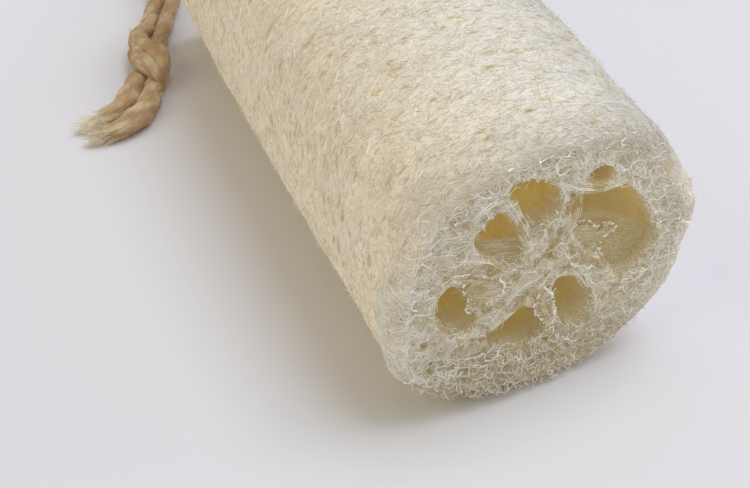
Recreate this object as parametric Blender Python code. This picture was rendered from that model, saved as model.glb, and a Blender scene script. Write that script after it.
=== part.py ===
"""A natural loofah sponge with a knotted hanging cord of twisted cotton.

The loofah lies on its side along Y. The cut end that shows the chambers faces -Y, and the
cord comes out of the +Y end. The origin is on the resting surface, under the middle of the
loofah. Units are metres and +Z is up.
"""

import math
import random

import bmesh
import bpy
from mathutils import Matrix, Vector
from mathutils.geometry import delaunay_2d_cdt

# Size of the loofah
LENGTH = 0.155
RADIUS = 0.034
AXIS_X = -0.0006
AXIS_Z = 0.0322
BULGE = 0.05
FAR_TAPER = 0.03
SECTION_LOBES = ((2, 0.002, -0.008), (3, 0.003, -0.008), (4, -0.022, -0.006), (5, 0.015, -0.002))

# The raised net of fibre bundles on the skin: diamonds drawn out round the loofah
NET_COLUMNS = 40
NET_ROWS = 56
NET_DEPTH = 0.0010
NET_WANDER = 0.20
RIM_RADIUS = 0.005
RIM_RINGS = 3

# The net of strands on both cut ends
FACE_SPACING = 0.0023
FACE_WANDER = 0.20
FACE_PIT_DEPTH = 0.0018
FACE_UNEVENNESS = 0.0004
FACE_EDGE_MARGIN = 0.0011

# The seed chambers, as outlines in X and Z at the near end; they draw together to the far end
CHAMBER_TAPER = 0.08
CHAMBER_HEART = Vector((AXIS_X, 0.0300))
CHAMBERS = {
    "top": ((-0.0103, 0.0568), (-0.0060, 0.0578), (-0.0018, 0.0553), (0.0006, 0.0512),
            (-0.0004, 0.0467), (-0.0055, 0.0478), (-0.0086, 0.0522)),
    "upper_left": ((-0.0168, 0.0455), (-0.0139, 0.0505), (-0.0112, 0.0518), (-0.0092, 0.0478),
                   (-0.0068, 0.0430), (-0.0070, 0.0375), (-0.0118, 0.0396)),
    "right": ((0.0044, 0.0500), (0.0097, 0.0506), (0.0147, 0.0495), (0.0192, 0.0443),
              (0.0233, 0.0365), (0.0242, 0.0290), (0.0215, 0.0234), (0.0167, 0.0243),
              (0.0124, 0.0315), (0.0064, 0.0381), (0.0041, 0.0443)),
    "left": ((-0.0243, 0.0300), (-0.0233, 0.0350), (-0.0212, 0.0366), (-0.0188, 0.0336),
             (-0.0161, 0.0291), (-0.0168, 0.0251), (-0.0213, 0.0246)),
    "bottom": ((-0.0124, 0.0184), (-0.0084, 0.0229), (-0.0051, 0.0248), (-0.0018, 0.0222),
               (0.0003, 0.0184), (-0.0008, 0.0147), (-0.0053, 0.0142), (-0.0098, 0.0156)),
    "lower_right": ((0.0016, 0.0268), (0.0018, 0.0300), (0.0044, 0.0306), (0.0078, 0.0280),
                    (0.0104, 0.0225), (0.0116, 0.0170), (0.0098, 0.0143), (0.0068, 0.0146),
                    (0.0034, 0.0196)),
}
CHAMBER_SPAN_POINTS = 2
CHAMBER_RINGS = 7
MOUTH_FLARE = 0.0007
MOUTH_DEPTH = 0.0015

# A short pocket above the right chamber that ends inside the near half
POCKET = ((0.0064, 0.0551), (0.0090, 0.0569), (0.0115, 0.0548), (0.0092, 0.0534))
POCKET_DEPTH = 0.012

# The cotton cord: its route on both sides of the web that it is threaded through
CORD_DIAMETER = 0.0045
CORD_STEP = 1.2 * CORD_DIAMETER
CORD_GAP = 0.00035
THREAD_LEFT = Vector((-0.0194, 0.0593, 0.0302))
THREAD_RIGHT = Vector((-0.0042, 0.0593, 0.0189))
THREAD_TURN_POINTS = 7
LOOP_LEFT = (
    (-0.0396, 0.0817, 0.0028), (-0.0387, 0.0838, 0.0026), (-0.0363, 0.0894, 0.0024),
    (-0.0324, 0.0966, 0.0024), (-0.0312, 0.1018, 0.0037), (-0.0298, 0.1056, 0.0082),
    (-0.0275, 0.1060, 0.0150), (-0.0245, 0.1020, 0.0230), (-0.0220, 0.0946, 0.0284),
    (-0.0201, 0.0860, 0.0300), (-0.0195, 0.0775, 0.0302), (-0.0194, 0.0684, 0.0302),
)
LOOP_RIGHT = (
    (-0.0042, 0.0684, 0.0189), (-0.0042, 0.0775, 0.0189), (-0.0043, 0.0855, 0.0186),
    (-0.0055, 0.0935, 0.0164), (-0.0090, 0.1003, 0.0120), (-0.0145, 0.1038, 0.0074),
    (-0.0200, 0.1036, 0.0040), (-0.0250, 0.1003, 0.0025), (-0.0280, 0.0947, 0.0024),
    (-0.0317, 0.0874, 0.0024), (-0.0353, 0.0800, 0.0026),
)
TAIL_LEFT = (
    (-0.0474, 0.0610, 0.0027), (-0.0507, 0.0566, 0.0025), (-0.0542, 0.0522, 0.0024),
    (-0.0582, 0.0484, 0.0024), (-0.0623, 0.0456, 0.0024), (-0.0670, 0.0439, 0.0024),
)
TAIL_RIGHT = (
    (-0.0461, 0.0537, 0.0027), (-0.0495, 0.0501, 0.0025), (-0.0533, 0.0461, 0.0024),
    (-0.0576, 0.0428, 0.0024), (-0.0618, 0.0407, 0.0024), (-0.0657, 0.0391, 0.0024),
)

# The knot: one strand bulges to the left and crosses over to the right, the other lies under it
WRAP_RADIUS = 0.0027
OVER_STRAND = (
    (-0.0394, 0.0821, 0.0029), (-0.0404, 0.0794, 0.0042), (-0.0434, 0.0762, 0.0056),
    (-0.0443, 0.0712, 0.0062), (-0.0424, 0.0672, 0.0068), (-0.0405, 0.0632, 0.0066),
    (-0.0408, 0.0588, 0.0052), (-0.0436, 0.0561, 0.0036), (-0.0465, 0.0533, 0.0028),
)
UNDER_STRAND = (
    (-0.0351, 0.0805, 0.0028), (-0.0366, 0.0774, 0.0030), (-0.0395, 0.0728, 0.0030),
    (-0.0425, 0.0676, 0.0029), (-0.0454, 0.0634, 0.0029), (-0.0478, 0.0605, 0.0028),
)
KNOT_HEART = Vector((-0.0418, 0.0676, 0.0042))
KNOT_HEART_RADII = (0.0036, 0.0090, 0.0036)
KNOT_HEADING = math.radians(-16)
SOCKET_RUN = 3

# How finely the shapes are drawn
CURVE_STEPS = 16
KNOT_SIDES = 12
SKIN_CREASE = math.radians(50)
KNOT_CREASE = math.radians(60)

COLOURS = {
    "loofah": (0.72, 0.62, 0.43, 1.0),
    "cotton": (0.40, 0.27, 0.14, 1.0),
}
SEED = 11


def clear_scene():
    for obj in list(bpy.data.objects):
        bpy.data.objects.remove(obj, do_unlink=True)


def make_material(name, colour, roughness):
    material = bpy.data.materials.new(name)
    material.use_nodes = True
    shader = material.node_tree.nodes["Principled BSDF"]
    shader.inputs["Base Color"].default_value = colour
    shader.inputs["Roughness"].default_value = roughness
    shader.inputs["Metallic"].default_value = 0.0
    return material


def closed_curve(points, per_span):
    """Points on the smooth closed curve through the given points."""
    knots = [Vector(p) for p in points]
    count = len(knots)
    curve = []
    for i in range(count):
        p0, p1, p2, p3 = (knots[(i + k) % count] for k in (-1, 0, 1, 2))
        for step in range(per_span):
            curve.append(spline_point(p0, p1, p2, p3, step / per_span))
    return curve


def spline_point(p0, p1, p2, p3, t):
    return 0.5 * (
        2 * p1
        + (p2 - p0) * t
        + (2 * p0 - 5 * p1 + 4 * p2 - p3) * t ** 2
        + (3 * p1 - p0 - 3 * p2 + p3) * t ** 3
    )


def open_curve(points, step):
    """Points a fixed step apart on the smooth open curve through the given points."""
    knots = [Vector(p) for p in points]
    knots = [2 * knots[0] - knots[1], *knots, 2 * knots[-1] - knots[-2]]
    fine = []
    for i in range(1, len(knots) - 2):
        fine += [spline_point(*knots[i - 1:i + 3], k / CURVE_STEPS) for k in range(CURVE_STEPS)]
    fine.append(knots[-2])
    reach = [0.0]
    for a, b in zip(fine, fine[1:]):
        reach.append(reach[-1] + (b - a).length)
    count = max(2, round(reach[-1] / step) + 1)
    curve = []
    i = 0
    for k in range(count):
        want = reach[-1] * k / (count - 1)
        while i < len(fine) - 2 and reach[i + 1] < want:
            i += 1
        share = (want - reach[i]) / (reach[i + 1] - reach[i])
        curve.append(fine[i].lerp(fine[i + 1], share))
    return curve


def section_radius(angle):
    lobes = sum(c * math.cos(n * angle) + s * math.sin(n * angle) for n, c, s in SECTION_LOBES)
    return RADIUS * (1 + lobes)


def station_scale(y):
    """How large the section is at y: it swells half way and narrows to the far end."""
    share = y / LENGTH + 0.5
    return 1 + BULGE * 4 * share * (1 - share) - FAR_TAPER * share


def skin_point(angle, y, inset):
    """A point on the skin, which is flattened where it meets the resting surface."""
    scale = station_scale(y)
    radius = section_radius(angle) - inset
    x = AXIS_X + scale * radius * math.cos(angle)
    z = scale * (AXIS_Z + radius * math.sin(angle))
    return Vector((x, y, max(z, 0.0)))


def skin_vertex(column, row, rng):
    """A vertex of the net: strands cross where column and row add up even, pits lie between."""
    turn = 2 * math.pi / NET_COLUMNS
    pitch = (LENGTH - 2 * RIM_RADIUS) / NET_ROWS
    inner_row = 0 < row < NET_ROWS
    wander = NET_WANDER if inner_row else 0.0
    angle = (column + rng.uniform(-wander, wander)) * turn
    y = -LENGTH / 2 + RIM_RADIUS + (row + rng.uniform(-wander, wander)) * pitch
    is_pit = (column + row) % 2 == 1 and inner_row
    sink = NET_DEPTH * (rng.uniform(0.5, 1.2) if is_pit else rng.uniform(0.0, 0.2))
    resting = skin_point(angle, y, 0.0)
    return resting if resting.z == 0.0 else skin_point(angle, y, sink)


def rim_ring(end, step):
    """One ring of the rounded rim; end is -1 for the near end and 1 for the far end."""
    bend = 0.5 * math.pi * step / RIM_RINGS
    y = end * (LENGTH / 2 - RIM_RADIUS * (1 - math.sin(bend)))
    inset = RIM_RADIUS * (1 - math.cos(bend))
    turn = 2 * math.pi / NET_COLUMNS
    return [skin_point(i * turn, y, inset) for i in range(NET_COLUMNS)]


def add_ring(bm, points):
    return [bm.verts.new(p) for p in points]


def bridge_rings(bm, first, second, first_row=0):
    """Two triangles a cell between two rings, split along the strands of the net."""
    count = len(first)
    for i in range(count):
        k = (i + 1) % count
        if (i + first_row) % 2 == 0:
            bm.faces.new((first[i], first[k], second[k]))
            bm.faces.new((first[i], second[k], second[i]))
        else:
            bm.faces.new((first[i], first[k], second[i]))
            bm.faces.new((first[k], second[k], second[i]))


def inside(point, outline):
    """Whether a point of the XZ plane lies inside a closed outline."""
    hit = False
    for a, b in zip(outline, outline[1:] + outline[:1]):
        if (a.y > point.y) != (b.y > point.y):
            if point.x < a.x + (b.x - a.x) * (point.y - a.y) / (b.y - a.y):
                hit = not hit
    return hit


def distance_to(point, outline):
    best = math.inf
    for a, b in zip(outline, outline[1:] + outline[:1]):
        along = b - a
        share = min(1.0, max(0.0, (point - a).dot(along) / along.length_squared))
        best = min(best, (point - a - share * along).length)
    return best


def widened(outline, amount):
    """The outline moved outwards, for the flared mouth of a chamber."""
    count = len(outline)
    area = sum(outline[i - 1].cross(outline[i]) for i in range(count))
    side = 1.0 if area > 0 else -1.0
    moved = []
    for i in range(count):
        along = (outline[(i + 1) % count] - outline[i - 1]).normalized()
        moved.append(outline[i] + side * amount * Vector((along.y, -along.x)))
    return moved


def face_points(rim, mouths, rng):
    """Points of the cut end between the rim and the mouths, and whether each is a pit.

    They lie on a wandering triangular grid in which every third point is a pit, so that the
    other points form a net of six-sided meshes round the pits.
    """
    found = []
    row_height = math.sqrt(3) / 2
    rows = math.ceil(RADIUS / (FACE_SPACING * row_height)) + 1
    columns = math.ceil(2 * RADIUS / FACE_SPACING)
    for n in range(-rows, rows + 1):
        for m in range(-columns, columns + 1):
            x = m + 0.5 * n + rng.uniform(-FACE_WANDER, FACE_WANDER)
            z = row_height * n + rng.uniform(-FACE_WANDER, FACE_WANDER)
            point = Vector((AXIS_X + FACE_SPACING * x, AXIS_Z + FACE_SPACING * z))
            if not inside(point, rim) or distance_to(point, rim) < FACE_EDGE_MARGIN:
                continue
            if any(inside(point, m_) or distance_to(point, m_) < FACE_EDGE_MARGIN for m_ in mouths):
                continue
            found.append((point, (m - n) % 3 == 0))
    return found


def add_face(bm, end, rim_verts, mouth_rings, rng):
    """The netted cut end: the area between the rim and the mouths, with its pits sunk in."""
    flat = [[Vector((v.co.x, v.co.z)) for v in ring] for ring in (rim_verts, *mouth_rings)]
    verts = [v for ring in (rim_verts, *mouth_rings) for v in ring]
    coords = [p for ring in flat for p in ring]
    edges = []
    for ring in flat:
        start = len(edges)
        edges += [(start + i, start + (i + 1) % len(ring)) for i in range(len(ring))]
    for point, is_pit in face_points(flat[0], flat[1:], rng):
        unevenness = rng.uniform(0.0, FACE_UNEVENNESS)
        depth = FACE_PIT_DEPTH * rng.uniform(0.6, 1.1) if is_pit else unevenness
        verts.append(bm.verts.new((point.x, end * (LENGTH / 2 - depth), point.y)))
        coords.append(point)
    _, _, triangles, origins, _, _ = delaunay_2d_cdt(coords, edges, [], 0, 1e-7)
    for triangle in triangles:
        corners = [origins[i][0] for i in triangle]
        middle = sum((coords[i] for i in corners), Vector((0, 0))) / 3
        if inside(middle, flat[0]) and not any(inside(middle, mouth) for mouth in flat[1:]):
            bm.faces.new([verts[i] for i in corners])


def add_chamber(bm, outline):
    """A chamber's wall from end to end; returns the rings of its near and far mouths."""
    mouth = widened(outline, MOUTH_FLARE)
    inner = LENGTH / 2 - MOUTH_DEPTH
    stations = [-LENGTH / 2]
    stations += [-inner + 2 * inner * k / (CHAMBER_RINGS - 1) for k in range(CHAMBER_RINGS)]
    stations += [LENGTH / 2]
    rings = []
    for y in stations:
        shape = mouth if abs(y) == LENGTH / 2 else outline
        narrowing = 1 - CHAMBER_TAPER * (y / LENGTH + 0.5)
        placed = [CHAMBER_HEART + narrowing * (p - CHAMBER_HEART) for p in shape]
        rings.append(add_ring(bm, [(p.x, y, p.y) for p in placed]))
    for first, second in zip(rings, rings[1:]):
        bridge_rings(bm, first, second)
    return rings[0], rings[-1]


def add_pocket(bm, outline):
    """The short pocket's wall and its end; returns the ring of its mouth."""
    floor = -LENGTH / 2 + POCKET_DEPTH
    mouth = add_ring(bm, [(p.x, -LENGTH / 2, p.y) for p in outline])
    end = add_ring(bm, [(p.x, floor, p.y) for p in outline])
    bridge_rings(bm, mouth, end)
    bm.faces.new(end)
    return mouth


def finish_object(name, bm, material, crease):
    bmesh.ops.recalc_face_normals(bm, faces=bm.faces)
    mesh = bpy.data.meshes.new(name)
    bm.to_mesh(mesh)
    bm.free()
    mesh.shade_smooth()
    mesh.set_sharp_from_angle(angle=crease)
    mesh.materials.append(material)
    obj = bpy.data.objects.new(name, mesh)
    bpy.context.scene.collection.objects.link(obj)
    return obj


def make_loofah(material):
    rng = random.Random(SEED)
    bm = bmesh.new()
    rows = []
    for row in range(NET_ROWS + 1):
        rows.append(add_ring(bm, [skin_vertex(i, row, rng) for i in range(NET_COLUMNS)]))
    for row, (first, second) in enumerate(zip(rows, rows[1:])):
        bridge_rings(bm, first, second, row)
    rims = {}
    for end, edge in ((-1, rows[0]), (1, rows[-1])):
        for step in range(1, RIM_RINGS + 1):
            ring = add_ring(bm, rim_ring(end, step))
            bridge_rings(bm, edge, ring, step)
            edge = ring
        rims[end] = edge
    outlines = [closed_curve(points, CHAMBER_SPAN_POINTS) for points in CHAMBERS.values()]
    mouths = [add_chamber(bm, outline) for outline in outlines]
    pocket = add_pocket(bm, closed_curve(POCKET, CHAMBER_SPAN_POINTS))
    add_face(bm, -1, rims[-1], [near for near, _ in mouths] + [pocket], rng)
    add_face(bm, 1, rims[1], [far for _, far in mouths], rng)
    return finish_object("loofah", bm, material, SKIN_CREASE)


def sweep(bm, path, radius, sides=KNOT_SIDES):
    """A round tube with flat ends along a path."""
    rings = []
    up = Vector((0, 0, 1))
    for i, point in enumerate(path):
        along = (path[min(i + 1, len(path) - 1)] - path[max(i - 1, 0)]).normalized()
        side = along.cross(up)
        if side.length < 0.1:
            side = along.cross(Vector((1, 0, 0)))
        side.normalize()
        lift = side.cross(along)
        turn = 2 * math.pi / sides
        ring = [point + radius * (math.cos(k * turn) * side + math.sin(k * turn) * lift)
                for k in range(sides)]
        rings.append(add_ring(bm, ring))
    for first, second in zip(rings, rings[1:]):
        bridge_rings(bm, first, second)
    bm.faces.new(rings[0])
    bm.faces.new(rings[-1])


def make_tool(name, build):
    """A hidden shape that another object's Boolean modifier uses."""
    bm = bmesh.new()
    build(bm)
    bmesh.ops.recalc_face_normals(bm, faces=bm.faces)
    mesh = bpy.data.meshes.new(name)
    bm.to_mesh(mesh)
    bm.free()
    tool = bpy.data.objects.new(name, mesh)
    bpy.context.scene.collection.objects.link(tool)
    tool.hide_render = True
    tool.display_type = "WIRE"
    return tool


def add_boolean(obj, tool, operation):
    modifier = obj.modifiers.new(tool.name, "BOOLEAN")
    modifier.operation = operation
    modifier.solver = "EXACT"
    modifier.object = tool


def thread_turn():
    """The half circle in which the cord turns back through the web, deep in the far end."""
    middle = (THREAD_LEFT + THREAD_RIGHT) / 2
    across = (THREAD_LEFT - THREAD_RIGHT) / 2
    deeper = Vector((0, -across.length, 0))
    turn = math.pi / (THREAD_TURN_POINTS - 1)
    return [middle + across * math.cos(k * turn) + deeper * math.sin(k * turn)
            for k in range(THREAD_TURN_POINTS)]


def loop_path():
    return open_curve((*LOOP_LEFT, *thread_turn(), *LOOP_RIGHT), CORD_STEP)


def make_cord(name, path, material):
    curve = bpy.data.curves.new(name, "CURVE")
    curve.dimensions = "3D"
    curve.bevel_depth = CORD_DIAMETER / 2
    curve.bevel_resolution = 2
    curve.use_fill_caps = True
    spline = curve.splines.new("POLY")
    spline.points.add(len(path) - 1)
    for place, point in zip(spline.points, path):
        place.co = (*point, 1.0)
    curve.materials.append(material)
    obj = bpy.data.objects.new(name, curve)
    bpy.context.scene.collection.objects.link(obj)
    return obj


def make_knot(material, strand_ends):
    """The knot's over and under strands on its heart, with a seat for each cord end."""
    bm = bmesh.new()
    sweep(bm, open_curve(OVER_STRAND, WRAP_RADIUS), WRAP_RADIUS)
    knot = finish_object("cord_knot", bm, material, KNOT_CREASE)

    def build_heart(heart):
        bmesh.ops.create_icosphere(heart, subdivisions=2, radius=1.0)
        bmesh.ops.scale(heart, vec=KNOT_HEART_RADII, verts=heart.verts)
        bmesh.ops.rotate(heart, cent=(0, 0, 0), matrix=Matrix.Rotation(KNOT_HEADING, 3, "Z"),
                         verts=heart.verts)
        bmesh.ops.translate(heart, vec=KNOT_HEART, verts=heart.verts)

    def build_under(under):
        sweep(under, open_curve(UNDER_STRAND, WRAP_RADIUS), WRAP_RADIUS)

    add_boolean(knot, make_tool("knot_heart", build_heart), "UNION")
    add_boolean(knot, make_tool("knot_under_strand", build_under), "UNION")
    for number, end in enumerate(strand_ends):
        def build_seat(seat, end=end):
            sweep(seat, end, WRAP_RADIUS + CORD_GAP)
        add_boolean(knot, make_tool(f"knot_seat_{number}", build_seat), "DIFFERENCE")
    return knot


def seat_path(path):
    """The first stretch of a cord from its end at the knot, begun a little before that end."""
    start = path[0] + (path[0] - path[1]).normalized() * CORD_GAP
    return [start, *path[1:SOCKET_RUN]]


def main():
    clear_scene()
    loofah_material = make_material("loofah_fibre", COLOURS["loofah"], 0.9)
    cotton = make_material("cotton_cord", COLOURS["cotton"], 0.95)
    loofah = make_loofah(loofah_material)
    loop = loop_path()
    tail_left = open_curve(TAIL_LEFT, CORD_STEP)
    tail_right = open_curve(TAIL_RIGHT, CORD_STEP)

    def build_thread_hole(hole):
        turned = [p for p in loop if p.y < THREAD_LEFT.y + CORD_DIAMETER]
        sweep(hole, turned, CORD_DIAMETER / 2 + CORD_GAP)

    add_boolean(loofah, make_tool("thread_hole", build_thread_hole), "DIFFERENCE")
    make_cord("cord_loop", loop, cotton)
    make_cord("cord_tail_left", tail_left, cotton)
    make_cord("cord_tail_right", tail_right, cotton)
    ends = (loop, loop[::-1], tail_left, tail_right)
    make_knot(cotton, [seat_path(path) for path in ends])


main()
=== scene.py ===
"""The looks of a natural loofah sponge with a knotted cotton hanging cord.

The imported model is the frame. The loofah is dressed as a body with felted fibre on its skin, a
net of strands on both cut ends, torn membranes round the seed chambers, and a twisted cord that
is threaded through the far end. Units are metres, +Z is up and the loofah lies along Y.
"""

import logging
import math
import random
from collections.abc import Callable, Iterable, Mapping, Sequence
from dataclasses import dataclass, replace
from enum import Enum, IntEnum
from functools import reduce

import bmesh
import bpy
import numpy as np
from bmesh.types import BMesh, BMFace, BMVert
from bpy.types import ID, Material, Mesh, NodeSocket, NodeTree, Object
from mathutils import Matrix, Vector, noise
from mathutils.geometry import delaunay_2d_cdt
from mathutils.kdtree import KDTree


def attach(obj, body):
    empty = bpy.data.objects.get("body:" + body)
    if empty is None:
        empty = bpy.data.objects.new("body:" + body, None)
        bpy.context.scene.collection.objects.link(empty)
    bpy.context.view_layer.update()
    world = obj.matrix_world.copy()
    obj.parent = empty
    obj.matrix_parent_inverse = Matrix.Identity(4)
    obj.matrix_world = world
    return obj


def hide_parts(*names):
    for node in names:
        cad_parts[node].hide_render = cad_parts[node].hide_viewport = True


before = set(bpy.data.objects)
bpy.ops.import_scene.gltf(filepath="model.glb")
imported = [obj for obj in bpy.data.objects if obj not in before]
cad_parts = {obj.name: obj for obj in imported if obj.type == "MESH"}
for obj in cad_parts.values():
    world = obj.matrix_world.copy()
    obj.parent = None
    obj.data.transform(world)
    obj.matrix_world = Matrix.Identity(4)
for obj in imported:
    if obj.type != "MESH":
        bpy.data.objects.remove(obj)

log = logging.getLogger("loofah")
logging.basicConfig(level=logging.INFO, format="%(name)s: %(message)s")

MM = 0.001
BODY = "root"
FLOOR_GAP = 0.2 * MM
HAIR_GAP = 0.15 * MM
COLUMNS = 168
MOUTH_SPACING = 1.0 * MM
PIT_PITCH = 5.0 * MM
PIT_SHARE = 0.72
NOISE_SEED = 4
FINE_STEPS = 16
TIGHT = 1e-7
Colour = tuple[float, float, float]
Places = np.ndarray
Sizes = Mapping[str, float | int]


class End(Enum):
    """A cut end of the loofah; the value is the direction along Y in which it faces."""

    NEAR = -1
    FAR = 1


class Surface(IntEnum):
    """A surface of the loofah's body; the value is its material's place in the list."""

    SKIN = 0
    FLESH = 1
    CHAMBER = 2


def operator(operation: str, reflected: bool = False) -> Callable[["Value", object], "Value"]:
    """Makes an operator of the class Value.

    Args:
        operation: the operation of its Math node.
        reflected: whether the other term comes first, as in 1 - value.

    Returns:
        The operator's method.
    """
    def calculate(value: "Value", other: object) -> "Value":
        """The value of a Math node on a value and another term."""
        return value.graph.math(operation, *((other, value) if reflected else (value, other)))
    return calculate


class Value:
    """The value of a socket, on which arithmetic adds Math nodes to its graph."""

    def __init__(self, graph: "Graph", socket: NodeSocket) -> None:
        """Wraps an output socket.

        Args:
            graph: the graph that the socket's node is in.
            socket: the output socket that gives the value.
        """
        self.graph = graph
        self.socket = socket

    __add__, __radd__ = operator("ADD"), operator("ADD", True)
    __sub__, __rsub__ = operator("SUBTRACT"), operator("SUBTRACT", True)
    __mul__, __rmul__ = operator("MULTIPLY"), operator("MULTIPLY", True)
    __pow__, __rpow__ = operator("POWER"), operator("POWER", True)

    def __abs__(self) -> "Value":
        """This value without its sign."""
        return self.graph.math("ABSOLUTE", self, 0.0)


class Graph:
    """The nodes of one material or of one Geometry Nodes tree."""

    def __init__(self, tree: NodeTree) -> None:
        """Takes over a node tree that is still empty."""
        self.tree = tree

    def add(self, kind: str, settings: Mapping[str, object] | None = None,
            values: Mapping[str | int, object] | None = None, output: str | int = 0) -> Value:
        """Adds a node.

        Args:
            kind: the node's type.
            settings: its properties, such as a Math node's operation.
            values: a number, a vector or a Value for each input socket, by name or place.
            output: the output socket to return, by name or place.

        Returns:
            The value of that output.
        """
        node = self.tree.nodes.new(kind)
        for name, setting in (settings or {}).items():
            setattr(node, name, setting)
        for name, value in (values or {}).items():
            socket = self._find(node.inputs, name)
            if isinstance(value, Value):
                self.tree.links.new(value.socket, socket)
            else:
                socket.default_value = value
        return Value(self, self._find(node.outputs, output))

    def other(self, value: Value, output: str) -> Value:
        """Another output of the node that gives a value."""
        return Value(self, self._find(value.socket.node.outputs, output))

    @staticmethod
    def _find(sockets: Iterable[NodeSocket], name: str | int) -> NodeSocket:
        """The socket in use that has a name, or that stands at a place in the list."""
        named = (socket for socket in sockets if socket.name == name and socket.enabled)
        return sockets[name] if isinstance(name, int) else next(named)

    def math(self, operation: str, *terms: object) -> Value:
        """A Math node on the given numbers."""
        return self.add("ShaderNodeMath", {"operation": operation}, dict(enumerate(terms)))

    def vector(self, operation: str, *terms: object) -> Value:
        """A Vector Math node on the given vectors."""
        return self.add("ShaderNodeVectorMath", {"operation": operation}, dict(enumerate(terms)))

    def scaled(self, vector: Value, factor: object) -> Value:
        """A vector times a number."""
        return self.add("ShaderNodeVectorMath", {"operation": "SCALE"},
                        {0: vector, "Scale": factor})

    def parts(self, vector: Value) -> tuple[Value, Value, Value]:
        """The three parts of a vector."""
        x = self.add("ShaderNodeSeparateXYZ", values={"Vector": vector}, output="X")
        return x, self.other(x, "Y"), self.other(x, "Z")

    def joined(self, x: object, y: object, z: object) -> Value:
        """A vector of three numbers."""
        return self.add("ShaderNodeCombineXYZ", values={"X": x, "Y": y, "Z": z})

    def ease(self, value: Value, low: float, high: float, to_low: float = 0.0,
             to_high: float = 1.0) -> Value:
        """Maps a value from one range to another with soft ends, and holds it inside that."""
        return self.add("ShaderNodeMapRange", {"interpolation_type": "SMOOTHSTEP"}, {
            "Value": value, "From Min": low, "From Max": high, "To Min": to_low, "To Max": to_high})

    def mix(self, share: Value, first: object, second: object) -> Value:
        """The colour that lies a share of the way from one colour to another.

        Args:
            share: the share.
            first: a colour or a Value that gives one.
            second: another.

        Returns:
            The colour.
        """
        first, second = ((*c, 1.0) if isinstance(c, tuple) else c for c in (first, second))
        values = {"Factor": share, "A": first, "B": second}
        return self.add("ShaderNodeMix", {"data_type": "RGBA"}, values, "Result")

    def noise(self, place: Value, pitch: float, detail: float = 2.0, output: str = "Fac") -> Value:
        """A noise texture with features about a pitch apart, in metres."""
        return self.add("ShaderNodeTexNoise", {"noise_dimensions": "3D"}, {
            "Vector": place, "Scale": 1 / pitch, "Detail": detail}, output)

    def aside(self, place: Value, pitch: float) -> Value:
        """A vector that wanders smoothly round zero, with turns about a pitch apart."""
        return self.vector("SUBTRACT", self.noise(place, pitch, 1.0, "Color"), (0.5,) * 3)

    def highest(self, *values: object) -> Value:
        """The highest of some values."""
        return reduce(lambda top, value: self.math("MAXIMUM", top, value), values)

    def pits(self, place: Value, reach: float = 1.0) -> Value:
        """Where the small pits in the felt lie: 1 in a pit and 0 outside it.

        Args:
            place: the position on the loofah.
            reach: how wide the mask is, as a share of the pits' own width.

        Returns:
            The mask.
        """
        drawn = self.vector("MULTIPLY", place, (1.0, 2.4, 1.0))
        wander = self.noise(place, 0.35 * PIT_PITCH, 2.0, "Color")
        moved = self.vector("ADD", drawn, self.scaled(wander, 0.3 * PIT_PITCH))
        cells = self.add("ShaderNodeTexVoronoi", {"feature": "F1"},
                         {"Vector": moved, "Scale": 1 / PIT_PITCH}, "Distance")
        chance, size, _ = self.parts(self.other(cells, "Color"))
        there = self.ease(chance, 1 - PIT_SHARE, 1.02 - PIT_SHARE)
        return self.ease(cells * (0.7 + size), 0.135 * reach, 0.075 * reach) * there


class Shader(Graph):
    """The graph of a material with one Principled shader."""

    def __init__(self, name: str) -> None:
        """Makes an empty material.

        Args:
            name: the name.
        """
        self.material = bpy.data.materials.new(name)
        self.material.use_nodes = True
        super().__init__(self.material.node_tree)
        self.tree.nodes.clear()

    def place(self) -> Value:
        """Object coordinates, in metres."""
        return self.add("ShaderNodeTexCoord", output="Object")

    def attribute(self, name: str) -> Value:
        """A number that the mesh holds at each point."""
        return self.add("ShaderNodeAttribute", {"attribute_name": name}, output="Fac")

    def fibres(self, flat: Value, angle: float, wide: float, long: float, seed: float) -> Value:
        """Thin ridges that run side by side over a flat map, as fibres do in felt.

        Args:
            flat: the place on the map, in metres.
            angle: the way they run, in radians from the map's first axis.
            wide: how far apart they lie.
            long: about how long they are.
            seed: sets this layer apart from the others.

        Returns:
            1 on a ridge and 0 between them.
        """
        x, y, _ = self.parts(flat)
        along = x * (math.cos(angle) / long) + y * (math.sin(angle) / long)
        across = y * (math.cos(angle) / wide) - x * (math.sin(angle) / wide)
        waves = self.noise(self.joined(along, across, seed), 1.0, 1.0)
        return self.ease(abs(waves - 0.5), 0.1, 0.0)

    def openness(self, form: "LoofahForm") -> Value:
        """How open the net of a cut end is, as LoofahForm.openness gives it.

        Args:
            form: the loofah's shape.

        Returns:
            The openness from 0 to 1.
        """
        x, _, z = self.parts(self.place())
        across = (x - form.axis_x) * (form.open_lean / form.radius)
        up = (z - form.axis_z) * (form.open_rise / form.radius)
        return self.ease(form.open_from - across - up, 0.0, form.open_over)

    def bump(self, height: Value, distance: float) -> Value:
        """The normal of a surface that is raised by a height times a distance in metres."""
        return self.add("ShaderNodeBump", values={
            "Height": height, "Distance": distance, "Strength": 1.0})

    def finish(self, values: Mapping[str, object]) -> Material:
        """Closes the graph with the Principled shader.

        Args:
            values: the shader's socket values by name.

        Returns:
            The material.
        """
        shader = self.add("ShaderNodeBsdfPrincipled", values=values)
        out = self.tree.nodes.new("ShaderNodeOutputMaterial")
        self.tree.links.new(shader.socket, out.inputs["Surface"])
        return self.material


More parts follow.
